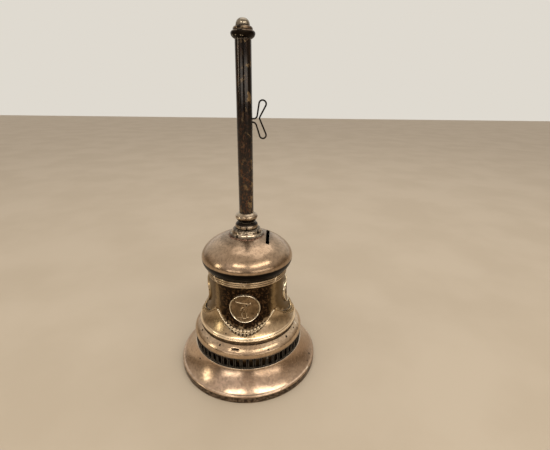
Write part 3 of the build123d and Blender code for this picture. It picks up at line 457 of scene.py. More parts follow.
foot_radius, _, foot_top = reach("foot_ring")
RIM_HEIGHT, FLARE_DIP = 5.0, 0.9
FLARE_TOP_RADIUS, FLARE_TOP_LEVEL = 43.3, foot_top - 1.0
rim_inside = foot_radius - 2.4
bead_end = (foot_radius - 1.6, RIM_HEIGHT + 1.2)
flare_inner_top = (FLARE_TOP_RADIUS - 1.7, FLARE_TOP_LEVEL - 0.6)
flare_inner_foot = (bead_end[0] - 1.3, RIM_HEIGHT - 0.4)
foot_outline = [
    *eased((rim_inside, 0), (rim_inside, 2), (foot_radius, 0), 0.4),
    *eased((foot_radius, 0), (rim_inside, 0), (foot_radius, 2), 0.5),
    *straight((foot_radius, 0.9), (foot_radius - 0.15, RIM_HEIGHT - 1.0)),
    *flowing([(foot_radius - 0.3, RIM_HEIGHT - 0.55), (foot_radius - 0.02, RIM_HEIGHT + 0.05),
              (foot_radius - 0.45, RIM_HEIGHT + 0.85), bead_end], 7),
    *dished(bead_end, (FLARE_TOP_RADIUS, FLARE_TOP_LEVEL), -FLARE_DIP, 40)[1:],
    *eased((FLARE_TOP_RADIUS, foot_top), (FLARE_TOP_RADIUS, FLARE_TOP_LEVEL), (40, foot_top), 0.35),
    (flare_inner_top[0], foot_top),
    *dished(flare_inner_top, flare_inner_foot, -FLARE_DIP, 24),
    (rim_inside, flare_inner_foot[1] - 1.2),
]
# The dark band over the upright rim is painted shade.
foot_plate = silver_plate(
    "foot_plate", clean=(0.68, 0.52, 0.395), toned=(0.46, 0.325, 0.225), toning=(30, 0.51, 0.14),
    blackening=(120, 0.71, 0.05), black_share=0.7, dirt_and_shade=(0.003, 0.3), rough=(0.19, 0.40),
    pits=(0.0085, 0.075, 0.25), rubbed=(0.512, 0.55), dark_bands=((-0.001, 0.0044, 0.0006, 0.92),),
    stains=((-35.4, -27.7, 15.4, 1.1), (50.0, -12.0, 7.6, 1.1), (47.9, -19.4, 7.4, 0.8),
            (-29.5, -37.8, 11.0, 0.6), (-45.1, -14.2, 11.8, 0.8), (38.2, 33.9, 10.5, 1.2), (-12.0, 48.5, 9.0, 0.9)))
foot = turned("spun_foot", foot_outline, foot_plate, 288)
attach(foot, "casing")
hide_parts("foot_ring")


# --- Pierced gallery ------------------------------------------------------------------------------
# A cast openwork band between foot and shoulder: upright oval loops side by side, with the
# ground between them sunk. It lets the gong sound out, and has gone almost black.
BAYS = 56
WINDOW_WIDTH, WINDOW_HEIGHT = 2.7, 6.7
GALLERY_WALL = 1.3
gallery_radius, gallery_low, gallery_high = reach("pierced_gallery")
# share of the way from the window out to the edge of its bay, and how far it stands proud
LOOP_SECTION = ((1.0, -GALLERY_WALL), (0.45, -GALLERY_WALL), (0.0, -GALLERY_WALL + 0.1), (-0.06, -0.75),
                (0.0, -0.35), (0.16, -0.08), (0.42, 0.0), (0.66, -0.12), (0.80, -0.42), (0.88, -0.60),
                (1.0, -0.62))


def bay_border(angle, half_width, half_height):
    """Where a ray from the window's middle meets the bay's rectangle."""
    x, z = math.cos(angle), math.sin(angle)
    scale = min(half_width / max(abs(x), 1e-9), half_height / max(abs(z), 1e-9))
    return x * scale, z * scale


def pierced_band():
    half_width, half_height = math.pi * gallery_radius / BAYS, (gallery_high - gallery_low) / 2
    middle = (gallery_low + gallery_high) / 2
    corner = math.atan2(half_height, half_width)
    quarter = [*(corner * k / 7 for k in range(7)),
               *(corner + (math.pi / 2 - corner) * k / 5 for k in range(5))]
    backwards = [math.pi / 2, *reversed(quarter[1:])]
    angles = [*quarter, *(math.pi - a for a in backwards),
              *(math.pi + a for a in quarter), *(2 * math.pi - a for a in backwards)]
    straight_half = (WINDOW_HEIGHT - WINDOW_WIDTH) / 2
    rays = []
    for angle in angles:
        bx, bz = bay_border(angle, half_width, half_height)
        lean = math.atan2(bz * WINDOW_WIDTH / WINDOW_HEIGHT * 1.25, bx)
        lift = math.copysign(straight_half, bz) * min(1, abs(math.sin(lean)) * 1.6)
        wx, wz = WINDOW_WIDTH / 2 * math.cos(lean), WINDOW_WIDTH / 2 * math.sin(lean) + lift
        rays.append([(wx + (bx - wx) * share, wz + (bz - wz) * share, proud) for share, proud in LOOP_SECTION])
    depth = len(LOOP_SECTION)
    bays = []
    for bay in range(BAYS):
        rows = []
        for ray in rays:
            turns = [(2 * math.pi * bay / BAYS + u / gallery_radius, gallery_radius + proud, z)
                     for u, z, proud in ray]
            rows.append([(r * math.cos(turn), r * math.sin(turn), middle + z) for turn, r, z in turns])
        points, faces = skinned(rows, looped=False, closed=True)
        for a, ray in enumerate(rays):
            b = (a + 1) % len(rays)
            edge, next_edge = ray[0][1], rays[b][0][1]
            if abs(abs(edge) - half_height) < 1e-6 and abs(edge - next_edge) < 1e-6:
                faces.append((a * depth, a * depth + depth - 1, b * depth + depth - 1, b * depth))
        bays.append((points, faces))
    return gathered(bays)


gallery_plate = silver_plate(
    "gallery_plate", clean=(0.080, 0.074, 0.068), toned=(0.030, 0.026, 0.022),
    bright=(0.58, 0.55, 0.50), toning=(160, 0.50, 0.10), blackening=(260, 0.50, 0.08),
    dirt_and_shade=(0.0022, 1.0), rubbed=(0.535, 0.60), rubbed_share=0.7, rough=(0.22, 0.5),
    pits=(0.004, 0.1, 0.3), lines=0.0)
gallery = shell("openwork_gallery", *pierced_band(), gallery_plate, 50)
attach(gallery, "casing")
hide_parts("pierced_gallery")


# --- Shoulder ring --------------------------------------------------------------------------------
# Spun ring over the gallery, full and rounded, with a narrow groove above it and a spigot that
# enters the drum. A knock has left a shallow crescent dent low on its front.
NECK_RADIUS, SHOULDER_WALL = 37.2, 1.3
SHOULDER_HEIGHT = 8.0
shoulder_radius, shoulder_low, spigot_top = reach("shoulder_ring")
DENT_ANGLE, DENT_LEVEL, DENT_DEPTH = math.radians(-99.5), shoulder_low + 6.0, 0.6
DENT_HALF_LENGTH, DENT_HALF_HEIGHT = 3.6, 0.6


def knocked(x, y, z):
    """Pushes the skin in along a short crescent."""
    radius = math.hypot(x, y)
    along = (math.atan2(y, x) - DENT_ANGLE) * radius / DENT_HALF_LENGTH
    across = (z - DENT_LEVEL + 0.5 * along ** 2) / DENT_HALF_HEIGHT
    push = DENT_DEPTH * math.exp(-1.6 * (along ** 2 + across ** 2)) / radius
    return x * (1 - push), y * (1 - push), z - 0.25 * push * radius


shoulder_depth = shoulder_radius - NECK_RADIUS
bulge = flowing([(shoulder_radius - shoulder_depth * k, shoulder_low + SHOULDER_HEIGHT * h)
                 for k, h in ((0.03, 0.0), (0.0, 0.18), (0.1, 0.45), (0.38, 0.71), (0.7, 0.9), (0.88, 1.0))], 8)
hollow = flowing([(shoulder_radius - SHOULDER_WALL - shoulder_depth * k, shoulder_low + SHOULDER_HEIGHT * h)
                  for k, h in ((0.03, 0.0), (0.02, 0.16), (0.12, 0.36), (0.40, 0.58), (0.68, 0.74),
                               (0.86, 0.80))], 5)
groove_level = shoulder_low + SHOULDER_HEIGHT
inner_neck = NECK_RADIUS - SHOULDER_WALL
shoulder_outline = [
    *bulge[:-1],
    *eased(bulge[-1], bulge[-3], (NECK_RADIUS, groove_level), 0.25),
    (NECK_RADIUS, groove_level + 0.1), (NECK_RADIUS, groove_level + 1.2), (NECK_RADIUS, groove_level + 2.5),
    (NECK_RADIUS, spigot_top), (inner_neck, spigot_top), (inner_neck, groove_level - 0.9),
    *[p for p in reversed(hollow) if p[0] > inner_neck + 0.1],
]
# A row of small dark spots darkens the dent along its crescent.
dent_dark_crescent = [(40.2 * math.sin(a), -40.2 * math.cos(a), DENT_LEVEL + 0.1 - 18 * (a + 0.162) ** 2, 0.85)
              for a in (math.radians(-12.6 + 0.95 * k) for k in range(8))]
# The first dark band is painted shade in the groove and on the neck under the drum's edge.
shoulder_plate = silver_plate(
    "shoulder_plate", clean=(0.70, 0.545, 0.39), toned=(0.48, 0.35, 0.24), toning=(40, 0.51, 0.13),
    blackening=(170, 0.68, 0.05), black_share=0.8, dirt_and_shade=(0.003, 0.9), rough=(0.20, 0.42),
    pits=(0.0075, 0.09, 0.35), dark_bands=((0.0378, 0.042, 0.0004, 0.9), (0.0280, 0.0290, 0.0006, 0.5)),
    stains=((-34.0, -19.6, 35.8, 1.1), (-28.6, -28.1, 35.2, 0.7), (-18.2, -35.7, 35.2, 1.1),
            (30.5, -25.6, 35.3, 1.3), (36.5, -15.1, 35.6, 0.9), (12.0, 38.2, 35.2, 1.1),
            (-31.5, 24.6, 35.1, 0.9), *dent_dark_crescent))
shoulder = turned("shoulder_shell", shoulder_outline, shoulder_plate, 320, bend=knocked)
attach(shoulder, "casing")
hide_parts("shoulder_ring")


# --- Drum -----------------------------------------------------------------------------------------
# Spun body, straight above and flaring to a rolled lower edge. The plate has blackened round
# the medallions, where the cloth never reached, and stays bright on the lower flare, with a painted highlight on
# its edge.
DRUM_RADIUS, DRUM_WALL = 29.4, 1.1
FLARE_HEIGHT, FLARE_POWER, DRUM_EDGE = 25.0, 2.9, 1.6
drum_edge_radius, drum_low, drum_top = reach("drum")


def drum_radius(level):
    """Outside radius of the drum at a height."""
    share = min(max((level - drum_low - DRUM_EDGE) / FLARE_HEIGHT, 0.0), 1.0)
    return DRUM_RADIUS + (drum_edge_radius - DRUM_RADIUS) * (1 - share) ** FLARE_POWER


def drum_levels(count):
    """Levels from the lower edge up, closer together where the flare is strong."""
    span = drum_top - drum_low - DRUM_EDGE
    return [drum_low + DRUM_EDGE + span * (k / count) ** 1.5 for k in range(count + 1)]


drum_inside = [(drum_radius(z) - DRUM_WALL * (1.25 if z < drum_low + 8 else 1.0), z) for z in drum_levels(30)]
drum_outline = [
    (drum_edge_radius - DRUM_WALL, drum_low),
    (drum_edge_radius - 0.8, drum_low),
    *[(drum_edge_radius - 0.8 + 0.8 * math.cos(a), drum_low + 0.8 + 0.8 * math.sin(a))
      for a in (math.radians(-80 + 10 * k) for k in range(16))],
    *[(drum_radius(z), z) for z in drum_levels(60) if z > drum_low + DRUM_EDGE + 0.5],
    *reversed(drum_inside[1:]),
    (drum_edge_radius - DRUM_WALL, drum_low + DRUM_EDGE - 0.4),
]


def black_fields(group, given):
    """The blackened fields of the drum, above the garlands and round the medallions: 1 inside."""
    place = separate(group, own_place(group))
    degrees = times(group, calc(group, "ARCTAN2", place["X"], place["Y"]), 180 / math.pi)
    share = calc(group, "DIVIDE", calc(group, "PINGPONG", degrees, 45.0), given["Half width"])
    hanging = calc(group, "MULTIPLY_ADD", times(group, share, share), 0.0120, 0.0465)
    grain = calc(group, "SUBTRACT", noise(group, 210, 8, Roughness=0.66, Distortion=0.7), 0.5)
    above = calc(group, "MULTIPLY_ADD", grain, 0.012, calc(group, "SUBTRACT", place["Z"], hanging))
    beside = calc(group, "MULTIPLY_ADD", grain, 0.45, share)
    return times(group, ranged(group, above, -0.0012, 0.0016),
                ranged(group, beside, 0.86, 1.02, 1.0, 0.0))


FIELDS = shader_group("black fields", black_fields, **{"Half width": 44.0})


def drum_finish():
    """The drum's plate, blackened round the medallions with brown breaking through, with a painted highlight along
    its lower edge.
    """
    # The dark band at the drum's top is painted shade under the dome's overhanging edge.
    made = silver_plate(
        "drum_plate", clean=(0.68, 0.52, 0.345), toned=(0.42, 0.31, 0.185), toning=(38, 0.48, 0.15),
        blackening=(110, 0.68, 0.05), dirt_and_shade=(0.002, 0.3), rough=(0.17, 0.44), pits=(0.006, 0.09, 0.30),
        dark_bands=((0.0785, 0.086, 0.002, 0.9),),
        stains=((-13.9, -33.5, 43.8, 0.9), (-17.2, -31.9, 43.6, 0.6)))
    tree = made.node_tree
    shader = tree.nodes["Principled BSDF"]
    field = effect(tree, FIELDS)
    place = separate(tree, own_place(tree))
    # Painted reflection of the floor: an olive-brown tint over the black fields on the drum's left and right sides,
    # which also lowers the metallic there.
    wandering = calc(tree, "MULTIPLY_ADD", clouded(tree, 150, 0.5, 0.25, 0.5), 0.0045,
                     calc(tree, "ABSOLUTE", place["X"]))
    painted_floor_reflection = ranged(tree, wandering, 0.0165, 0.0285)
    brown = clouded(tree, 640, 0.565, 0.07)
    film = mixed(tree, times(tree, brown, 0.75), (0.013, 0.0075, 0.0042), (0.135, 0.076, 0.037))
    film = mixed(tree, times(tree, painted_floor_reflection, 0.92), film, (0.115, 0.068, 0.020))
    dusky = times(tree, ranged(tree, place["Z"], 0.051, 0.061), 0.8)
    plate = mixed(tree, dusky, shader.inputs["Base Color"].links[0].from_socket, (0.20, 0.135, 0.062))
    # Painted highlight: a bright band along the rolled lower edge.
    lip = effect(tree, BAND, Low=0.0394, High=0.0422, Softness=0.0004)
    put(tree, shader.inputs["Base Color"],
        mixed(tree, lip, mixed(tree, field, plate, film), (0.98, 0.80, 0.58)))
    for name, level in (("Roughness", 0.36), ("Metallic", ranged(tree, painted_floor_reflection, 0.0, 1.0, 0.97, 0.45))):
        blend = node(tree, "ShaderNodeMix", {0: field, 2: shader.inputs[name].links[0].from_socket, 3: level},
                     data_type="FLOAT")
        put(tree, shader.inputs[name], blend.outputs[0])
    return made


drum = turned("spun_drum", drum_outline, drum_finish(), 256)
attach(drum, "casing")
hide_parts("drum")


# --- Reeded band ----------------------------------------------------------------------------------
# A strip of three half-round reeds soldered round the drum's top, bound at eight places with
# crossed ribbon. The ribbons stand up and shine; the grooves between the reeds are black.
_, band_low, band_high = reach("reeded_band")
REEDS, REED_PITCH, REED_DEPTH = 3, 4.6 / 3, 0.6
BAND_GROUND = DRUM_RADIUS + 0.35
RIBBONS = 8
KNOT_HEIGHT, KNOT_RAISE = 4.8, 0.7


def reed_profile():
    low = band_high - REEDS * REED_PITCH
    outline = [(DRUM_RADIUS + 0.05, low), (BAND_GROUND, low)]
    for reed in range(REEDS):
        outline += [(BAND_GROUND + REED_DEPTH * math.sin(math.pi * k / 10),
                     low + REED_PITCH * (reed + 0.5 - 0.5 * math.cos(math.pi * k / 10))) for k in range(1, 11)]
    return [*outline, (DRUM_RADIUS + 0.05, band_high)]


def on_drum(angle, along, level, proud):
    """A point that far round from an angle, at a level, and that far off the drum's skin."""
    radius = drum_radius(level)
    turn = angle + along / radius
    return (radius + proud) * math.cos(turn), (radius + proud) * math.sin(turn), level


def moulding(angle, path, widths, rises, ground=0.05, closed=False, section=9):
    """A half-round strip on the drum along a path of (along, level); gives its points and faces."""
    count = len(path)
    rows = []
    for k, (s, z) in enumerate(path):
        before = path[k - 1] if k or closed else path[k]
        after = path[(k + 1) % count] if k < count - 1 or closed else path[k]
        ds, dz = after[0] - before[0], after[1] - before[1]
        length = math.hypot(ds, dz) or 1.0
        side = (-dz / length, ds / length)
        row = []
        for turn in (math.pi * j / (section - 1) for j in range(section)):
            out = widths[k] / 2 * math.cos(turn)
            row.append(on_drum(angle, s + side[0] * out, z + side[1] * out, ground + rises[k] * math.sin(turn)))
        rows.append(row)
    return skinned(rows, closed=closed, capped=not closed)


def ribbon_tie(angle):
    """Two crossed turns of ribbon over the reeds, a middle knot and two short tails."""
    middle = band_low + KNOT_HEIGHT / 2 + KNOT_RAISE
    top, foot = middle + KNOT_HEIGHT / 2, middle - KNOT_HEIGHT / 2
    steps = 12
    parts = []
    for sense in (-1, 1):
        path = [(sense * (-1.75 + 3.5 * k / steps), foot + 1.2 + (top - foot - 1.2) * k / steps)
                for k in range(steps + 1)]
        swell = [math.sin(math.pi * k / steps) for k in range(steps + 1)]
        parts.append(moulding(angle, path, [0.85 + 0.25 * w for w in swell],
                              [0.95 + (0.42 if sense > 0 else 0.30) * w for w in swell]))
        tail = [(sense * (0.25 + 1.6 * t), middle - 0.7 - 1.2 * t - 0.4 * math.sin(math.pi * t))
                for t in (k / 8 for k in range(9))]
        parts.append(moulding(angle, tail, [0.55 + 0.75 * k / 8 for k in range(9)],
                              [1.0 - 0.45 * k / 8 for k in range(9)]))
    knot = [(0.0, middle - 0.9 + 1.8 * k / 6) for k in range(7)]
    parts.append(moulding(angle, knot, [0.5 + 1.1 * math.sin(math.pi * (k + 0.5) / 7) for k in range(7)],
                          [0.7 + 0.85 * math.sin(math.pi * (k + 0.5) / 7) for k in range(7)]))
    return gathered(parts)


reed_plate = silver_plate(
    "reed_plate", clean=(0.66, 0.52, 0.36), toned=(0.36, 0.26, 0.16), bright=(0.90, 0.78, 0.60),
    toning=(120, 0.54, 0.12), blackening=(240, 0.68, 0.06), black_share=0.6, dirt_and_shade=(0.001, 0.5),
    rubbed=(0.53, 0.60), rubbed_share=0.5, rough=(0.18, 0.40), lines=0.0, mottle=0.3,
    sunk=BAND_GROUND + 0.55 * REED_DEPTH)
ribbon_plate = silver_plate(
    "ribbon_plate", clean=(0.66, 0.52, 0.36), toned=(0.36, 0.26, 0.16), bright=(0.95, 0.82, 0.62),
    toning=(160, 0.55, 0.12), blackening=(300, 0.72, 0.05), black_share=0.4, dirt_and_shade=(0.0014, 0.8),
    rubbed=(0.53, 0.60), rubbed_share=0.7, rough=(0.20, 0.40), lines=0.0, mottle=0.2)
reeds = turned("reeds", reed_profile(), reed_plate, 256)
all_ties = gathered(ribbon_tie(2 * math.pi * k / RIBBONS) for k in range(RIBBONS))
ribbons = shell("ribbon_ties", *all_ties, ribbon_plate)
for ornament in (reeds, ribbons):
    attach(ornament, "casing")
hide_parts("reeded_band")


# --- Medallions -----------------------------------------------------------------------------------
# Four struck discs soldered round the drum, each with a dancing figure holding up a branch, in
# low relief, inside a thin bright ring. The figure is a plain antique type, with no features.
SIDES = {"front": -90, "right": 0, "back": 90, "left": 180}
MEDALLION_RADIUS, RING_WIDTH, RING_RISE, DISC_RISE = 11.1, 1.05, 1.65, 0.75
RELIEF = 1.1               # height of a stroke of full rise
medallion_level = (reach("medallion_frame_front")[1] + reach("medallion_frame_front")[2]) / 2
# strokes of the relief: from (x, z) to (x, z), half width at each end, rise; as shares of the disc's radius
FIGURE = (
    (-0.50, 0.46, 0.10, 0.36, 0.045, 0.055, 0.62),    # raised branch
    (0.10, 0.36, 0.36, 0.30, 0.050, 0.040, 0.55),     # forearm
    (0.38, 0.37, 0.40, 0.38, 0.075, 0.070, 0.75),     # sprig at its end
    (0.02, 0.20, 0.04, 0.22, 0.105, 0.100, 0.70),     # head
    (0.02, 0.06, -0.04, -0.14, 0.120, 0.105, 0.66),   # body
    (0.12, 0.08, 0.22, 0.28, 0.055, 0.045, 0.56),     # lifted arm
    (-0.10, 0.06, -0.26, -0.10, 0.052, 0.042, 0.50),  # lowered arm
    (-0.05, -0.16, -0.20, -0.44, 0.090, 0.055, 0.60),  # leg behind
    (-0.20, -0.44, -0.16, -0.70, 0.055, 0.040, 0.52),
    (0.00, -0.16, 0.14, -0.44, 0.095, 0.060, 0.64),   # leg in front
    (0.14, -0.44, 0.10, -0.68, 0.060, 0.042, 0.56),
    (0.10, -0.70, 0.24, -0.73, 0.040, 0.035, 0.46),   # foot
    (-0.30, -0.02, -0.44, -0.34, 0.075, 0.120, 0.34),  # blown scarf
    (-0.62, 0.50, -0.50, 0.40, 0.050, 0.070, 0.44),
    (-0.46, -0.78, 0.46, -0.78, 0.028, 0.028, 0.30),  # ground line
)


def relief_rise(x, z):
    """How far the struck figure stands off the disc at a place, in shares of the disc's radius."""
    rise = 0.0
    for ax, az, bx, bz, wide_a, wide_b, high in FIGURE:
        run_x, run_z = bx - ax, bz - az
        share = min(max(((x - ax) * run_x + (z - az) * run_z) / (run_x ** 2 + run_z ** 2), 0.0), 1.0)
        gap = math.hypot(x - ax - run_x * share, z - az - run_z * share) / (wide_a + (wide_b - wide_a) * share)
        if gap < 1:
            rise = max(rise, high * math.sqrt(1 - gap ** 2) * (0.72 + 0.28 * (1 - gap)))
    return rise


def struck_disc(angle):
    """The disc on the drum, as a fine polar grid with the relief raised on it."""
    radius, rings, spokes = MEDALLION_RADIUS - RING_WIDTH + 0.12, 46, 128
    points, faces = [], []
    for rise_share in (1, 0):
        middle_rise = DISC_RISE + RELIEF * relief_rise(0, 0)
        points.append(on_drum(angle, 0, medallion_level, 0.05 + rise_share * middle_rise))
        for ring in range(1, rings + 1):
            share = ring / rings
            for spoke in range(spokes):
                turn = 2 * math.pi * spoke / spokes
                x, z = share * math.cos(turn), share * math.sin(turn)
                rim = 0.12 * math.exp(-((share - 0.93) / 0.02) ** 2)
                proud = DISC_RISE - 0.10 * (1 - share ** 2) + RELIEF * relief_rise(x, z) + rim
                points.append(on_drum(angle, radius * x * (1 - 0.035 * z), medallion_level + radius * z,
                                      0.05 + rise_share * proud))
    layer = 1 + rings * spokes
    for base in (0, layer):
        for spoke in range(spokes):
            beside = (spoke + 1) % spokes
            faces.append((base, base + 1 + spoke, base + 1 + beside))
            for ring in range(rings - 1):
                inner, outer = base + 1 + ring * spokes, base + 1 + (ring + 1) * spokes
                faces.append((inner + spoke, outer + spoke, outer + beside, inner + beside))
    for spoke in range(spokes):
        beside = (spoke + 1) % spokes
        rim = 1 + (rings - 1) * spokes
        faces.append((rim + spoke, layer + rim + spoke, layer + rim + beside, rim + beside))
    return points, faces


def frame_ring(angle):
    middle = MEDALLION_RADIUS - RING_WIDTH / 2
    steps = 120
    turns = [2 * math.pi * k / steps for k in range(steps)]
    path = [(middle * math.cos(a) * (1 - 0.035 * math.sin(a)), medallion_level + middle * math.sin(a))
            for a in turns]
    return moulding(angle, path, [RING_WIDTH - 0.04] * steps, [RING_RISE - 0.05] * steps, closed=True,
                    section=11)


medallion_plate = silver_plate(
    "medallion_plate", clean=(0.30, 0.21, 0.125), toned=(0.17, 0.115, 0.065), bright=(0.82, 0.68, 0.50),
    toning=(110, 0.50, 0.14), blackening=(220, 0.66, 0.06), black_share=0.8, dirt_and_shade=(0.0018, 1.0),
    rubbed=(0.515, 0.56), rubbed_share=0.8, rough=(0.26, 0.42), pits=(0.004, 0.09, 0.3), lines=0.0)
ring_plate = silver_plate(
    "medallion_ring_plate", clean=(0.80, 0.68, 0.50), toned=(0.60, 0.46, 0.31), bright=(0.98, 0.88, 0.70),
    toning=(140, 0.56, 0.12), blackening=(260, 0.70, 0.05), black_share=0.6, dirt_and_shade=(0.0012, 0.8),
    rubbed=(0.51, 0.56), rubbed_share=0.85, rough=(0.17, 0.36), pits=(0.004, 0.08, 0.2), lines=0.0)
# The left ring is a darker copy of the ring plate: painted shade, since less light falls on that side.
painted_shade_ring_plate = silver_plate(
    "painted_shade_ring_plate", clean=(0.42, 0.31, 0.18), toned=(0.28, 0.20, 0.11), bright=(0.62, 0.48, 0.30),
    toning=(140, 0.52, 0.12), blackening=(260, 0.68, 0.05), black_share=0.6, dirt_and_shade=(0.0012, 0.8),
    rubbed=(0.51, 0.56), rubbed_share=0.5, rough=(0.26, 0.42), pits=(0.004, 0.08, 0.2), lines=0.0)
ring_plates = {"front": ring_plate, "right": ring_plate, "back": ring_plate, "left": painted_shade_ring_plate}
for side, degrees in SIDES.items():
    disc = shell(f"figure_disc_{side}", *struck_disc(math.radians(degrees)), medallion_plate, 60)
    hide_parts(f"medallion_{side}")
    ring = shell(f"disc_ring_{side}", *frame_ring(math.radians(degrees)), ring_plates[side])
    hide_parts(f"medallion_frame_{side}")
    for ornament in (disc, ring):
        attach(ornament, "casing")


# --- Garlands -------------------------------------------------------------------------------------
# A cast laurel garland hangs under each medallion: a thin cord at both ends, thickening to
# bunches of overlapping leaves with berries. It is soldered on and rubbed bright on top.
garland_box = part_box("swag_front")
GARLAND_SPAN = 1000 * (garland_box[1].x - garland_box[0].x) / 2
GARLAND_MIDDLE, GARLAND_SAG = drum_low + 5.9, 12.0
BUNCHES = 13
GARLAND_END = 0.955         # the part of the half span that the cord covers
LEAFY_SHARE = 0.60         # the part of the garland's half span that carries leaves


def garland_place(share):
    """Centre line of the garland: (along, level) for a share from -1 to 1, and its slope angle."""
    radius = (GARLAND_SPAN ** 2 + GARLAND_SAG ** 2) / (2 * GARLAND_SAG)
    half = math.asin(GARLAND_SPAN / radius)
    turn = share * half
    across, level = radius * math.sin(turn), GARLAND_MIDDLE + radius * (1 - math.cos(turn))
    return drum_radius(level) * math.asin(across / drum_radius(level)), level, turn


def leaf(angle, at, level, heading, length, width, rise, tilt=0.0):
    """One laurel leaf: pointed, domed, with a sunk midrib; its tip lifts by the tilt."""
    lengths, across = 10, 8
    rows = []
    for t in (k / lengths for k in range(lengths + 1)):
        half = width / 2 * math.sin(math.pi * t ** 0.85) ** 0.8
        row = []
        for v in (-1 + 2 * j / across for j in range(across + 1)):
            body = rise * math.sqrt(max(1 - v * v, 0)) * (0.35 + 0.65 * math.sin(math.pi * (0.15 + 0.75 * t)))
            midrib = 0.16 * math.exp(-(v / 0.2) ** 2) * math.sin(math.pi * t)
            s, n = t * length, v * half
            row.append(on_drum(angle, at + s * math.cos(heading) - n * math.sin(heading),
                               level + s * math.sin(heading) + n * math.cos(heading),
                               0.35 + tilt * t + max(body - midrib, 0.0)))
        rows.append(row)
    return skinned(rows)


def berry(angle, at, level, size, proud):
    """A round berry with a small dimple at its top."""
    rings, spokes = 7, 10
    rows = []
    for tilt in (math.pi * k / rings for k in range(rings + 1)):
        across, rise = size * math.sin(tilt), size * (math.cos(tilt) - 0.22 * math.exp(-(tilt / 0.35) ** 2))
        turns = [2 * math.pi * j / spokes for j in range(spokes)]
        rows.append([on_drum(angle, at + across * math.cos(a), level + across * math.sin(a), proud + rise)
                     for a in turns])
    return skinned(rows)


def backing(angle):
    """The sunk ground between the leaves, widest in the middle and gone where the cord is bare."""
    steps = 40
    shares = [LEAFY_SHARE * 1.12 * (-1 + 2 * k / steps) for k in range(steps + 1)]
    widths = [0.6 + 3.7 * (1 - (share / (LEAFY_SHARE * 1.12)) ** 2) ** 0.5 for share in shares]
    return moulding(angle, [garland_place(share)[:2] for share in shares], widths, [0.42] * (steps + 1))


def little_ring(angle, at, level, radius, width, rise):
    """A small open ring, one curled leaf of the lower row."""
    path = [(at + radius * math.cos(2 * math.pi * k / 16), level + radius * math.sin(2 * math.pi * k / 16))
            for k in range(16)]
    return moulding(angle, path, [width] * 16, [rise] * 16, closed=True, section=7)


def garland(angle, chance):
    """A cord, an upper row of laurel leaves and a lower row of curled leaves with berries."""
    steps = 60
    path = [garland_place(GARLAND_END * (-1 + 2 * k / steps))[:2] for k in range(steps + 1)]
    parts = [moulding(angle, path, [0.85] * (steps + 1), [0.95] * (steps + 1))]
    for sense in (-1, 1):
        at, level, _ = garland_place(sense * GARLAND_END)
        parts.append(berry(angle, at, level, 0.85, 0.6))
    for bunch in range(-(BUNCHES // 2), BUNCHES // 2 + 1):
        share = LEAFY_SHARE * bunch / (BUNCHES // 2)
        at, level, turn = garland_place(share)
        sense = 1 if bunch >= 0 else -1
        heading = turn + (0 if sense > 0 else math.pi)
        full = 1.0 - 0.45 * (abs(share) / LEAFY_SHARE) ** 1.5
        across_x, across_z = -math.sin(turn), math.cos(turn)
        lean = sense * (0.35 + chance.uniform(-0.12, 0.12))
        parts.append(leaf(angle, at + across_x * 0.95 * full - sense * 1.0 * math.cos(turn),
                          level + across_z * 0.95 * full - sense * 1.0 * math.sin(turn),
                          heading + lean, 2.8 * full, 1.85 * full, 1.35 * full, 0.75))
        parts.append(little_ring(angle, at - across_x * 1.25 * full, level - across_z * 1.25 * full,
                                 0.72 * full, 0.50 * full, 1.35 * full))
        parts.append(berry(angle, at - across_x * 1.25 * full, level - across_z * 1.25 * full,
                           0.30 * full, 0.55 * full))
    return gathered(parts)


garland_plate = silver_plate(
    "garland_plate", clean=(0.92, 0.78, 0.57), toned=(0.68, 0.52, 0.34), bright=(1.0, 0.90, 0.72),
    toning=(200, 0.55, 0.12), blackening=(300, 0.68, 0.05), black_share=0.6, dirt_and_shade=(0.0011, 0.7),
    rubbed=(0.52, 0.60), rubbed_share=0.8, rough=(0.25, 0.42), pits=(0.004, 0.08, 0.2), lines=0.0)
# The left and right garlands get a darker copy of the garland plate: painted shade, since less light falls on them.
painted_shade_garland_plate = silver_plate(
    "painted_shade_garland_plate", clean=(0.46, 0.34, 0.19), toned=(0.30, 0.21, 0.11), bright=(0.66, 0.50, 0.31),
    toning=(200, 0.50, 0.12), blackening=(300, 0.66, 0.05), black_share=0.7, dirt_and_shade=(0.0011, 0.8),
    rubbed=(0.52, 0.60), rubbed_share=0.5, rough=(0.32, 0.46), pits=(0.004, 0.08, 0.2), lines=0.0)
garland_plates = {"front": garland_plate, "right": painted_shade_garland_plate, "back": garland_plate,
                  "left": painted_shade_garland_plate}
ground_plate = silver_plate(
    "garland_ground_plate", clean=(0.13, 0.085, 0.045), toned=(0.060, 0.038, 0.020), bright=(0.55, 0.42, 0.27),
    toning=(180, 0.50, 0.12), blackening=(260, 0.56, 0.08), dirt_and_shade=(0.0016, 1.0),
    rubbed=(0.54, 0.62), rubbed_share=0.4, rough=(0.26, 0.46), pits=(0.004, 0.1, 0.3), lines=0.0)
for number, (side, degrees) in enumerate(SIDES.items()):
    wreath = shell(f"garland_{side}", *garland(math.radians(degrees), random.Random(number)),
                   garland_plates[side], 50)
    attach(wreath, "casing")
    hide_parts(f"swag_{side}")
    ground = shell(f"garland_ground_{side}", *backing(math.radians(degrees)), ground_plate, 50)
    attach(ground, "casing")


# --- Dome -----------------------------------------------------------------------------------------
# Spun lid with a turned-under edge that overhangs the drum. A long slot is cut to the right of
# the handle. Its top is dulled brown, and its lower front takes the light.
DOME_POWER, DOME_WALL, DOME_UNDERSIDE, DOME_RISE = 1.1, 1.2, 8.0, 18.4
SEAT_RADIUS, SPIGOT_HOLE = 12.6, 5.56
SLOT_LENGTH, SLOT_WIDTH, SLOT_PLACE = 27.0, 2.6, 15.7
dome_radius, dome_low, dome_top = reach("dome_cap")
equator = dome_low + DOME_UNDERSIDE


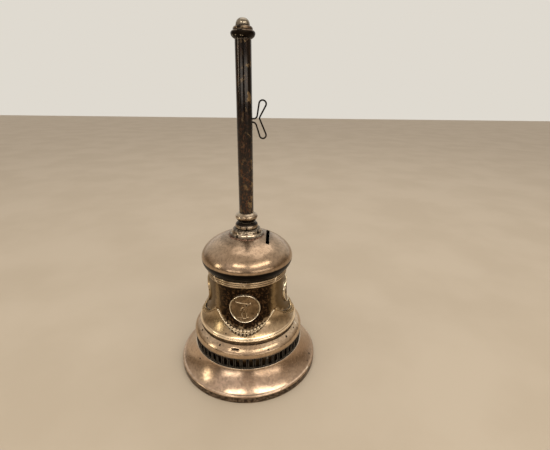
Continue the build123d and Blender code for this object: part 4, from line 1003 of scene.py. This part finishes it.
def crown_rise(r, radius, rise):
    return rise * max(1 - (r / radius) ** (2 / DOME_POWER), 0.0) ** (DOME_POWER / 2)


def dome_surface(radius):
    """Height of the lid's outside at a radius."""
    return dome_top if radius <= SEAT_RADIUS else equator + crown_rise(radius, dome_radius, DOME_RISE)


def crown(radius, rise, end_radius, steps):
    """The lid's section from its widest place up to the flat seat on top."""
    end_level = crown_rise(end_radius, radius, rise)
    shares = [math.sin(math.pi / 2 * k / steps) for k in range(steps + 1)]
    points = [((1 - (end_level * share / rise) ** (2 / DOME_POWER)) ** (DOME_POWER / 2) * radius,
               equator + end_level * share) for share in shares]
    return [*points[:-1], (end_radius, points[-1][1])]


def quarter_under(radius, depth, steps=18):
    """The turned-under edge, from the drum out to the lid's widest place."""
    return [(DRUM_RADIUS + radius * math.sin(math.pi / 2 * k / steps) ** 1.4,
             equator - depth * math.cos(math.pi / 2 * k / steps)) for k in range(steps + 1)]


outer_crown = crown(dome_radius, DOME_RISE, SEAT_RADIUS, 60)
inner_crown = crown(dome_radius - DOME_WALL, DOME_RISE - DOME_WALL, SEAT_RADIUS - DOME_WALL, 30)
lip = DRUM_RADIUS - DRUM_WALL
dome_outline = [
    (lip, dome_low),
    *quarter_under(dome_radius - DRUM_RADIUS, DOME_UNDERSIDE, 24)[:-1],
    *outer_crown[:-1],
    (SEAT_RADIUS, dome_top), (SPIGOT_HOLE, dome_top), (SPIGOT_HOLE, inner_crown[-1][1]),
    *reversed(inner_crown),
    *reversed(quarter_under(dome_radius - DRUM_RADIUS - DOME_WALL, DOME_UNDERSIDE - DOME_WALL)[:-1]),
    (lip, dome_low + DOME_WALL),
]
# The first dark band is painted shade on the turned-under edge below the lid's widest place.
dome_plate = silver_plate(
    "dome_plate", clean=(0.60, 0.445, 0.32), toned=(0.42, 0.305, 0.21), toning=(36, 0.50, 0.14),
    blackening=(210, 0.68, 0.05), black_share=0.7, dirt_and_shade=(0.005, 0.9), rough=(0.16, 0.42),
    pits=(0.006, 0.07, 0.30), rubbed=(0.52, 0.57), mottle=0.55,
    dark_bands=((0.0835, 0.0914, 0.0009, 1.0), (0.1071, 0.1095, 0.0018, 0.45)))
dome = turned("spun_dome", dome_outline, dome_plate, 320)


def cut(piece, low, high, along):
    """Cuts a box out of a piece, its edges that run along one axis rounded."""
    tool_mesh = bpy.data.meshes.new("cutter")
    work = bmesh.new()
    bmesh.ops.create_cube(work, size=1)
    for corner in work.verts:
        corner.co = Vector([0.001 * (a + (b - a) * (c + 0.5)) for a, b, c in zip(low, high, corner.co)])
    edges = [e for e in work.edges if abs(e.verts[0].co[along] - e.verts[1].co[along]) > 1e-6]
    bmesh.ops.bevel(work, geom=edges, offset=0.0003, segments=3, affect="EDGES")
    work.to_mesh(tool_mesh)
    work.free()
    tool = link_piece("cutter", tool_mesh)
    modifier = piece.modifiers.new("cut", "BOOLEAN")
    modifier.operation, modifier.object, modifier.solver = "DIFFERENCE", tool, "EXACT"
    cut_mesh = bpy.data.meshes.new_from_object(piece.evaluated_get(bpy.context.evaluated_depsgraph_get()))
    piece.modifiers.clear()
    piece.data = cut_mesh
    bpy.data.objects.remove(tool)
    cut_mesh.shade_smooth()
    cut_mesh.set_sharp_from_angle(angle=math.radians(40))


cut(dome, (SLOT_PLACE - SLOT_WIDTH / 2, -SLOT_LENGTH / 2, dome_top - 12),
    (SLOT_PLACE + SLOT_WIDTH / 2, SLOT_LENGTH / 2, dome_top + 5), along=2)
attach(dome, "casing")
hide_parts("dome_cap")


# --- Handle collar --------------------------------------------------------------------------------
# Turned brass: a stepped socket on the dome, a rounded nut and a ferrule round the foot of the
# tube, and round the socket an old repair, a rough run of solder that has gone red-brown.
TUBE_RADIUS, TUBE_BORE = 5.24, 4.34
SOLDER_REACH, SOLDER_RISE = 2.6, 0.75
socket_radius, socket_low, socket_high = reach("handle_socket")
nut_radius, nut_low, nut_high = reach("socket_nut")
ferrule_radius, ferrule_low, ferrule_high = reach("handle_ferrule")
collar_bore = TUBE_RADIUS + 0.06
socket_outline = [
    (3.26, socket_low), (5.5, socket_low), (5.5, dome_top), (socket_radius, dome_top),
    *eased((socket_radius, dome_top + 0.9), (socket_radius, dome_top), (11, dome_top + 1.2), 0.3),
    *dished((socket_radius - 0.5, dome_top + 1.0), (10.4, nut_low - 1.3), -0.35, 14),
    *flowing([(10.2, nut_low - 1.15), (9.9, nut_low - 0.7), (9.3, nut_low - 0.2), (9.0, nut_low)], 5),
    (4.28, nut_low), (4.28, socket_high), (1.56, socket_high), (1.56, socket_low + 2), (3.26, socket_low + 2),
]
nut_height = nut_high - nut_low
nut_side = flowing([(nut_radius - inset, nut_low + share * nut_height) for inset, share in
                    ((0.2, 0.0), (0.0, 0.3), (0.3, 0.58), (1.3, 0.84))] + [(6.15, nut_high)], 8)
ferrule_height = ferrule_high - ferrule_low
ferrule_side = flowing([(r, ferrule_low + share * ferrule_height) for r, share in
                        ((6.15, 0.0), (6.3, 0.14), (ferrule_radius - 0.85, 0.28), (ferrule_radius, 0.56),
                         (ferrule_radius - 0.6, 0.77), (TUBE_RADIUS + 0.5, 1.0))], 8)
collar_plate = silver_plate(
    "collar_plate", clean=(0.62, 0.52, 0.40), toned=(0.26, 0.19, 0.13), bright=(0.90, 0.82, 0.68),
    toning=(150, 0.54, 0.12), blackening=(190, 0.60, 0.06), dirt_and_shade=(0.0035, 1.0),
    rubbed=(0.53, 0.60), rubbed_share=0.6, rough=(0.17, 0.38), pits=(0.004, 0.12, 0.4),
    dark_bands=((0.1172, 0.1212, 0.0007, 0.97), (0.1085, 0.1098, 0.0006, 0.8), (0.1134, 0.1146, 0.0005, 0.85)))
nut_outline = [*nut_side, (collar_bore, nut_high), (collar_bore, nut_low)]
ferrule_outline = [*ferrule_side, (collar_bore, ferrule_high), (collar_bore, ferrule_low)]
for name, outline, cad_node in (("socket", socket_outline, "handle_socket"),
                                ("collar_nut", nut_outline, "socket_nut"),
                                ("ferrule", ferrule_outline, "handle_ferrule")):
    piece = turned(name, outline, collar_plate, 160)
    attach(piece, "casing")
    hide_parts(cad_node)


def solder_run():
    """A lumpy bead round the socket's foot, wide at the front left and thin elsewhere."""
    around, section = 220, 10
    start = socket_radius - 0.35
    rows = []
    for s in range(around):
        angle = 2 * math.pi * s / around
        lumps = sum(math.sin(k * angle + phase) / k ** 0.6
                    for k, phase in ((5, 0.4), (11, 2.1), (17, 4.0), (29, 1.2)))
        front_left = 0.5 + 0.5 * math.cos(angle + math.radians(118))
        width = SOLDER_REACH * (0.35 + 0.65 * front_left) * (0.8 + 0.22 * lumps)
        height = SOLDER_RISE * (0.5 + 0.5 * front_left) * (0.8 + 0.28 * math.sin(7.3 * lumps + s * 0.9))
        profile = []
        for t in (k / (section - 1) for k in range(section)):
            bead = max(height, 0.15) * (1 - t) ** 0.7 * (1 + 0.25 * math.sin(5 * t + 3 * lumps)) + 0.15 * (1 - t)
            profile.append((start + width * t, dome_surface(start + width * t) - 0.15 + bead))
        profile += [(start + width * t, dome_surface(start + width * t) - 0.3) for t in (1.0, 0.0)]
        rows.append([(r * math.cos(angle), r * math.sin(angle), z) for r, z in profile])
    return skinned(rows, closed=True)


solder_finish = silver_plate(
    "old_solder", clean=(0.34, 0.215, 0.155), toned=(0.13, 0.065, 0.042), black=(0.018, 0.010, 0.008),
    bright=(0.66, 0.50, 0.40), toning=(330, 0.50, 0.10), blackening=(420, 0.56, 0.07),
    dirt_and_shade=(0.0015, 1.0), rubbed=(0.53, 0.62), rubbed_share=0.6, rough=(0.36, 0.6),
    pits=(0.0025, 0.16, 0.5), lines=0.0)
solder = shell("solder_repair", *solder_run(), solder_finish, 60)
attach(solder, "casing")


# --- Handle tube and knob -------------------------------------------------------------------------
# Drawn tube, its plate nearly black with red-gold mottling where the brass shows, slotted on the
# right for the finger wire. A turned knob closes its top and guides the button.
_, tube_low, tube_high = reach("handle_tube")
SLOT_LOW, SLOT_HIGH, SLOT_HALF = 183.36, 192.06, 1.0      # where the wire's two legs slide in the tube


def tube_finish():
    """A glossy black film, breaking up downwards into red-brown and gold specks."""
    made, tree, shader = blank_material("dark_tube_plate")
    place = separate(tree, own_place(tree))
    lower = ranged(tree, place["Z"], 0.135, 0.225, 1.0, 0.22)
    right = ranged(tree, place["X"], -0.001, 0.004, 0.35, 1.0)
    cloud, specks = clouded(tree, 90, 0.52, 0.10, 0.4), clouded(tree, 620, 0.545, 0.06, 0.8)
    patches = clouded(tree, 210, 0.60, 0.05, 0.6)
    holes = effect(tree, PITS, Spacing=0.0035, Size=0.12, Share=0.3)
    rubbed = times(tree, effect(tree, RUBBED, Low=0.54, High=0.62), 0.4)
    broken = times(tree, times(tree, specks, lower), ranged(tree, cloud, 0.0, 1.0, 0.35, 1.0))
    worn = times(tree, times(tree, patches, right), 0.8)
    metal = mixed(tree, cloud, (0.0085, 0.0065, 0.0065), (0.022, 0.013, 0.010))
    for mask, colour in ((broken, (0.135, 0.068, 0.040)), (worn, (0.34, 0.24, 0.13)),
                         (rubbed, (0.42, 0.34, 0.26)), (holes, (0.010, 0.007, 0.006))):
        metal = mixed(tree, mask, metal, colour)
    put(tree, shader.inputs["Base Color"], metal)
    gone = most(tree, broken, worn)
    for name, film, bare in (("Roughness", 0.20, 0.42), ("Metallic", 0.80, 0.95), ("Coat Weight", 0.6, 0.08)):
        put(tree, shader.inputs[name], ranged(tree, gone, 0.0, 1.0, film, bare))
    shader.inputs["Coat Roughness"].default_value = 0.10
    shader.inputs["Specular IOR Level"].default_value = 0.2
    skin = calc(tree, "MULTIPLY_ADD", specks, 0.5, times(tree, effect(tree, HAIRLINES, Scale=300), 0.4))
    bumped(tree, shader, calc(tree, "MULTIPLY_ADD", holes, -2.0, skin), 0.4, 0.00006)
    return made


tube_outline = [*straight((TUBE_RADIUS, tube_low), (TUBE_RADIUS, tube_high), 120),
                *straight((TUBE_BORE, tube_high), (TUBE_BORE, tube_low), 60)]
tube = turned("drawn_tube", tube_outline, tube_finish(), 96)
cut(tube, (0, -SLOT_HALF, SLOT_LOW), (10, SLOT_HALF, SLOT_HIGH), along=0)
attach(tube, "casing")
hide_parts("handle_tube")

finial_radius, spigot_foot, knob_top = reach("handle_finial")
KNOB_BORE, ROD_BORE, KNOB_SPIGOT = 4.62, 1.56, 4.28
knob_side = flowing([(TUBE_RADIUS + 0.1, tube_high), *[(finial_radius - inset, tube_high + rise) for inset, rise in
                    ((1.3, 0.7), (0.4, 1.7), (0.0, 3.0), (0.4, 4.1), (1.3, 4.65))]], 8)
cove = flowing([knob_side[-1], (finial_radius - 1.55, tube_high + 5.0), (finial_radius - 1.5, knob_top - 1.25),
                (finial_radius - 2.0, knob_top - 0.35), (KNOB_BORE + 0.4, knob_top)], 7)
# The first dark band is a painted dark reflection on the underside of the knob's bulge.
knob_plate = silver_plate(
    "knob_plate", clean=(0.42, 0.33, 0.23), toned=(0.15, 0.10, 0.065),
    bright=(0.88, 0.80, 0.66), toning=(150, 0.49, 0.12), blackening=(200, 0.57, 0.06),
    dirt_and_shade=(0.002, 1.0), rubbed=(0.53, 0.60), rubbed_share=0.5, rough=(0.15, 0.34), pits=(0.004, 0.10, 0.35),
    lines=0.15, dark_bands=((0.2375, 0.2416, 0.0007, 0.97), (0.2425, 0.2430, 0.0003, 0.85)))
knob_outline = [*knob_side, *cove[1:], (KNOB_BORE, knob_top), (KNOB_BORE, tube_high + 0.6),
                (ROD_BORE, tube_high + 0.6), (ROD_BORE, spigot_foot), (KNOB_SPIGOT, spigot_foot), (KNOB_SPIGOT, tube_high)]
knob = turned("turned_knob", knob_outline, knob_plate, 160)
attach(knob, "casing")
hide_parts("handle_finial")


# --- Button ---------------------------------------------------------------------------------------
# The round-topped button on the push rod, in nickel silver: greyer and brighter than the plate,
# since the thumb rubs it at every stroke.
button_radius, button_low, button_top = reach("thumb_button")
button_rise = button_top - knob_top
BUTTON_HOLE = 1.52
button_side = flowing([(button_radius - inset, knob_top + rise) for inset, rise in
                       ((0.0, 0.3), (0.12, 1.2), (0.35, 2.1), (0.95, 3.2), (1.9, 4.05), (3.1, 4.58))]
                      + [(0.0, knob_top + button_rise)], 8)
# The dark band is painted shade in the gap where the button meets the knob.
button_plate = silver_plate(
    "button_nickel", clean=(0.38, 0.345, 0.285), toned=(0.22, 0.185, 0.14), bright=(0.86, 0.82, 0.72),
    toning=(160, 0.54, 0.14), blackening=(260, 0.68, 0.05), black_share=0.7, dirt_and_shade=(0.002, 1.0),
    rubbed=(0.53, 0.62), rubbed_share=0.5, rough=(0.16, 0.34), pits=(0.004, 0.08, 0.3), lines=0.2,
    dark_bands=((0.2440, 0.2453, 0.0004, 0.8),))
button_outline = [(BUTTON_HOLE, button_low), (button_radius, button_low), (button_radius, knob_top),
                  *button_side, (0, knob_top + 1.4), (BUTTON_HOLE, knob_top + 1.4)]
button = turned("round_button", button_outline, button_plate, 128)
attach(button, "striker_rod")
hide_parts("thumb_button")


# --- Finger wire ----------------------------------------------------------------------------------
# One length of hard-drawn wire bent cold into two narrow loops, oxidised brown-black, with a dull
# shine on the bends where the fingers pull it down. Both ends enter the block on the rod.
def wire_finish():
    made, tree, shader = blank_material("oxidised_wire")
    cloud = clouded(tree, 260, 0.56, 0.08)
    rubbed = times(tree, effect(tree, RUBBED, Low=0.50, High=0.56), 0.25)
    metal = mixed(tree, cloud, (0.010, 0.008, 0.007), (0.032, 0.022, 0.016))
    put(tree, shader.inputs["Base Color"], mixed(tree, rubbed, metal, (0.13, 0.11, 0.09)))
    shader.inputs["Metallic"].default_value = 0.9
    shader.inputs["Specular IOR Level"].default_value = 0.2
    put(tree, shader.inputs["Roughness"], ranged(tree, cloud, 0.0, 1.0, 0.30, 0.5))
    bumped(tree, shader, effect(tree, HAIRLINES, Scale=500), 0.3, 0.00004)
    return made


def dress(name, material, sharp=35):
    """Gives a CAD node its real finish and smooth shading; its shape stays as it is."""
    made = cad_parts[name]
    made.data.shade_smooth()
    made.data.set_sharp_from_angle(angle=math.radians(sharp))
    made.data.materials.clear()
    made.data.materials.append(material)
    return made


dress("finger_wire", wire_finish())


# --- Return spring --------------------------------------------------------------------------------
# A coil of spring steel inside the tube, its ends closed and ground flat. It stands on the bush
# crimped in the tube and lifts the rod's collar back to its stop after each stroke.
spring_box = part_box("return_spring")
SPRING_RADIUS, SPRING_WIRE, SPRING_TURNS = 3.0, 0.4, 7
spring_low, spring_high = 1000 * spring_box[0].z + SPRING_WIRE, 1000 * spring_box[1].z - SPRING_WIRE


def coil():
    """A swept round wire that follows the helix, closer together over the end turns."""
    steps, section = 36 * (SPRING_TURNS + 2), 12
    dead, closed_pitch = 1 / (SPRING_TURNS + 2), 2 * SPRING_WIRE + 0.06
    climb = spring_high - spring_low - 2 * closed_pitch
    rows = []
    for t in (k / steps for k in range(steps + 1)):
        angle = 2 * math.pi * (SPRING_TURNS + 2) * t
        if t < dead:
            level = spring_low + closed_pitch * t / dead
        elif t > 1 - dead:
            level = spring_high - closed_pitch * (1 - t) / dead
        else:
            level = spring_low + closed_pitch + climb * (t - dead) / (1 - 2 * dead)
        ring = [(SPRING_RADIUS + SPRING_WIRE * math.cos(a), level + SPRING_WIRE * math.sin(a))
                for a in (2 * math.pi * j / section for j in range(section))]
        rows.append([(r * math.cos(angle), r * math.sin(angle), z) for r, z in ring])
    return skinned(rows, capped=True)


def worked_metal(name, base, second, cloud_scale=180, rough=(0.25, 0.42), lines=0.3):
    """Unplated metal of the works: a little clouded, with tool marks, and dirt in its corners, darkened further by
    painted shade.
    """
    made, tree, shader = blank_material(name)
    cloud = clouded(tree, cloud_scale, 0.52, 0.14)
    corners = effect(tree, CORNER_DIRT_AND_SHADE, Reach=0.002, Amount=0.8)
    holes = effect(tree, PITS, Spacing=0.004, Size=0.10, Share=0.3)
    edge = times(tree, effect(tree, RUBBED, Low=0.53, High=0.60), 0.5)
    bright = tuple(min(1.0, 1.35 * channel) for channel in base)
    metal = mixed(tree, edge, mixed(tree, cloud, base, second), bright)
    # Dirt and painted shade in the corners, with the pits, darken the metal.
    dirt_and_shade_mask = most(tree, corners, times(tree, holes, 0.8))
    put(tree, shader.inputs["Base Color"], mixed(tree, dirt_and_shade_mask, metal, (0.05, 0.035, 0.025)))
    shader.inputs["Metallic"].default_value = 1.0
    put(tree, shader.inputs["Roughness"], ranged(tree, most(tree, cloud, corners), 0.0, 1.0, *rough))
    marks = times(tree, effect(tree, HAIRLINES, Scale=320), 0.5)
    bumped(tree, shader, calc(tree, "MULTIPLY_ADD", effect(tree, SPIN, Scale=1300), lines, marks), 0.35, 0.00006)
    return made


spring_finish = worked_metal("spring_steel_wire", (0.40, 0.38, 0.36), (0.26, 0.24, 0.22))
spring = shell("coil_spring", *coil(), spring_finish)
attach(spring, "casing")
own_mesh(spring)
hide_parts("return_spring")


# --- Works of the striker -------------------------------------------------------------------------
# Brass plate, lugs, bushes, rivets and sleeve hold the works in the drum; the gong's strap, the
# lever, its bracket, the rod, pins and screws are steel. They keep the shapes they were designed with.
works_brass = worked_metal("works_brass", (0.46, 0.32, 0.14), (0.28, 0.185, 0.09), 90, (0.30, 0.48))
works_steel = worked_metal("works_steel", (0.46, 0.44, 0.41), (0.30, 0.27, 0.24), 140, (0.26, 0.44), lines=0.15)
for name in ("mechanism_plate", "plate_bush", "rod_sleeve", "plate_lugs", "bridge_rivets", "bracket_rivet",
             "spring_seat", "neck_ring", "dome_nut", "trigger_block", "rod_collar", "hammer_head"):
    dress(name, works_brass)
for name in ("push_rod", "fork_pin", "hinge_pin", "hammer_lever", "hammer_bracket", "plate_screws",
             "gong_bridge", "gong_stud", "gong_nut"):
    dress(name, works_steel)


# --- Gong -----------------------------------------------------------------------------------------
# Cast bell bronze, turned inside and out: golden where it was skimmed, browner elsewhere. It hangs
# from the bridge between two leather washers, so that it rings freely.
gong_bronze = worked_metal("gong_bronze", (0.42, 0.27, 0.125), (0.26, 0.155, 0.075), 45, (0.26, 0.44), lines=0.9)
dress("gong", gong_bronze)


def washer_leather():
    made, tree, shader = blank_material("washer_leather")
    grain = node(tree, "ShaderNodeTexVoronoi", {"Vector": own_place(tree), "Scale": 2600}).outputs["Distance"]
    tone = clouded(tree, 240, 0.5, 0.2)
    put(tree, shader.inputs["Base Color"], mixed(tree, tone, (0.16, 0.075, 0.035), (0.085, 0.04, 0.02)))
    put(tree, shader.inputs["Roughness"], ranged(tree, grain, 0.0, 0.6, 0.62, 0.82))
    bumped(tree, shader, grain, 0.5, 0.00015)
    return made


dress("gong_washers", washer_leather())
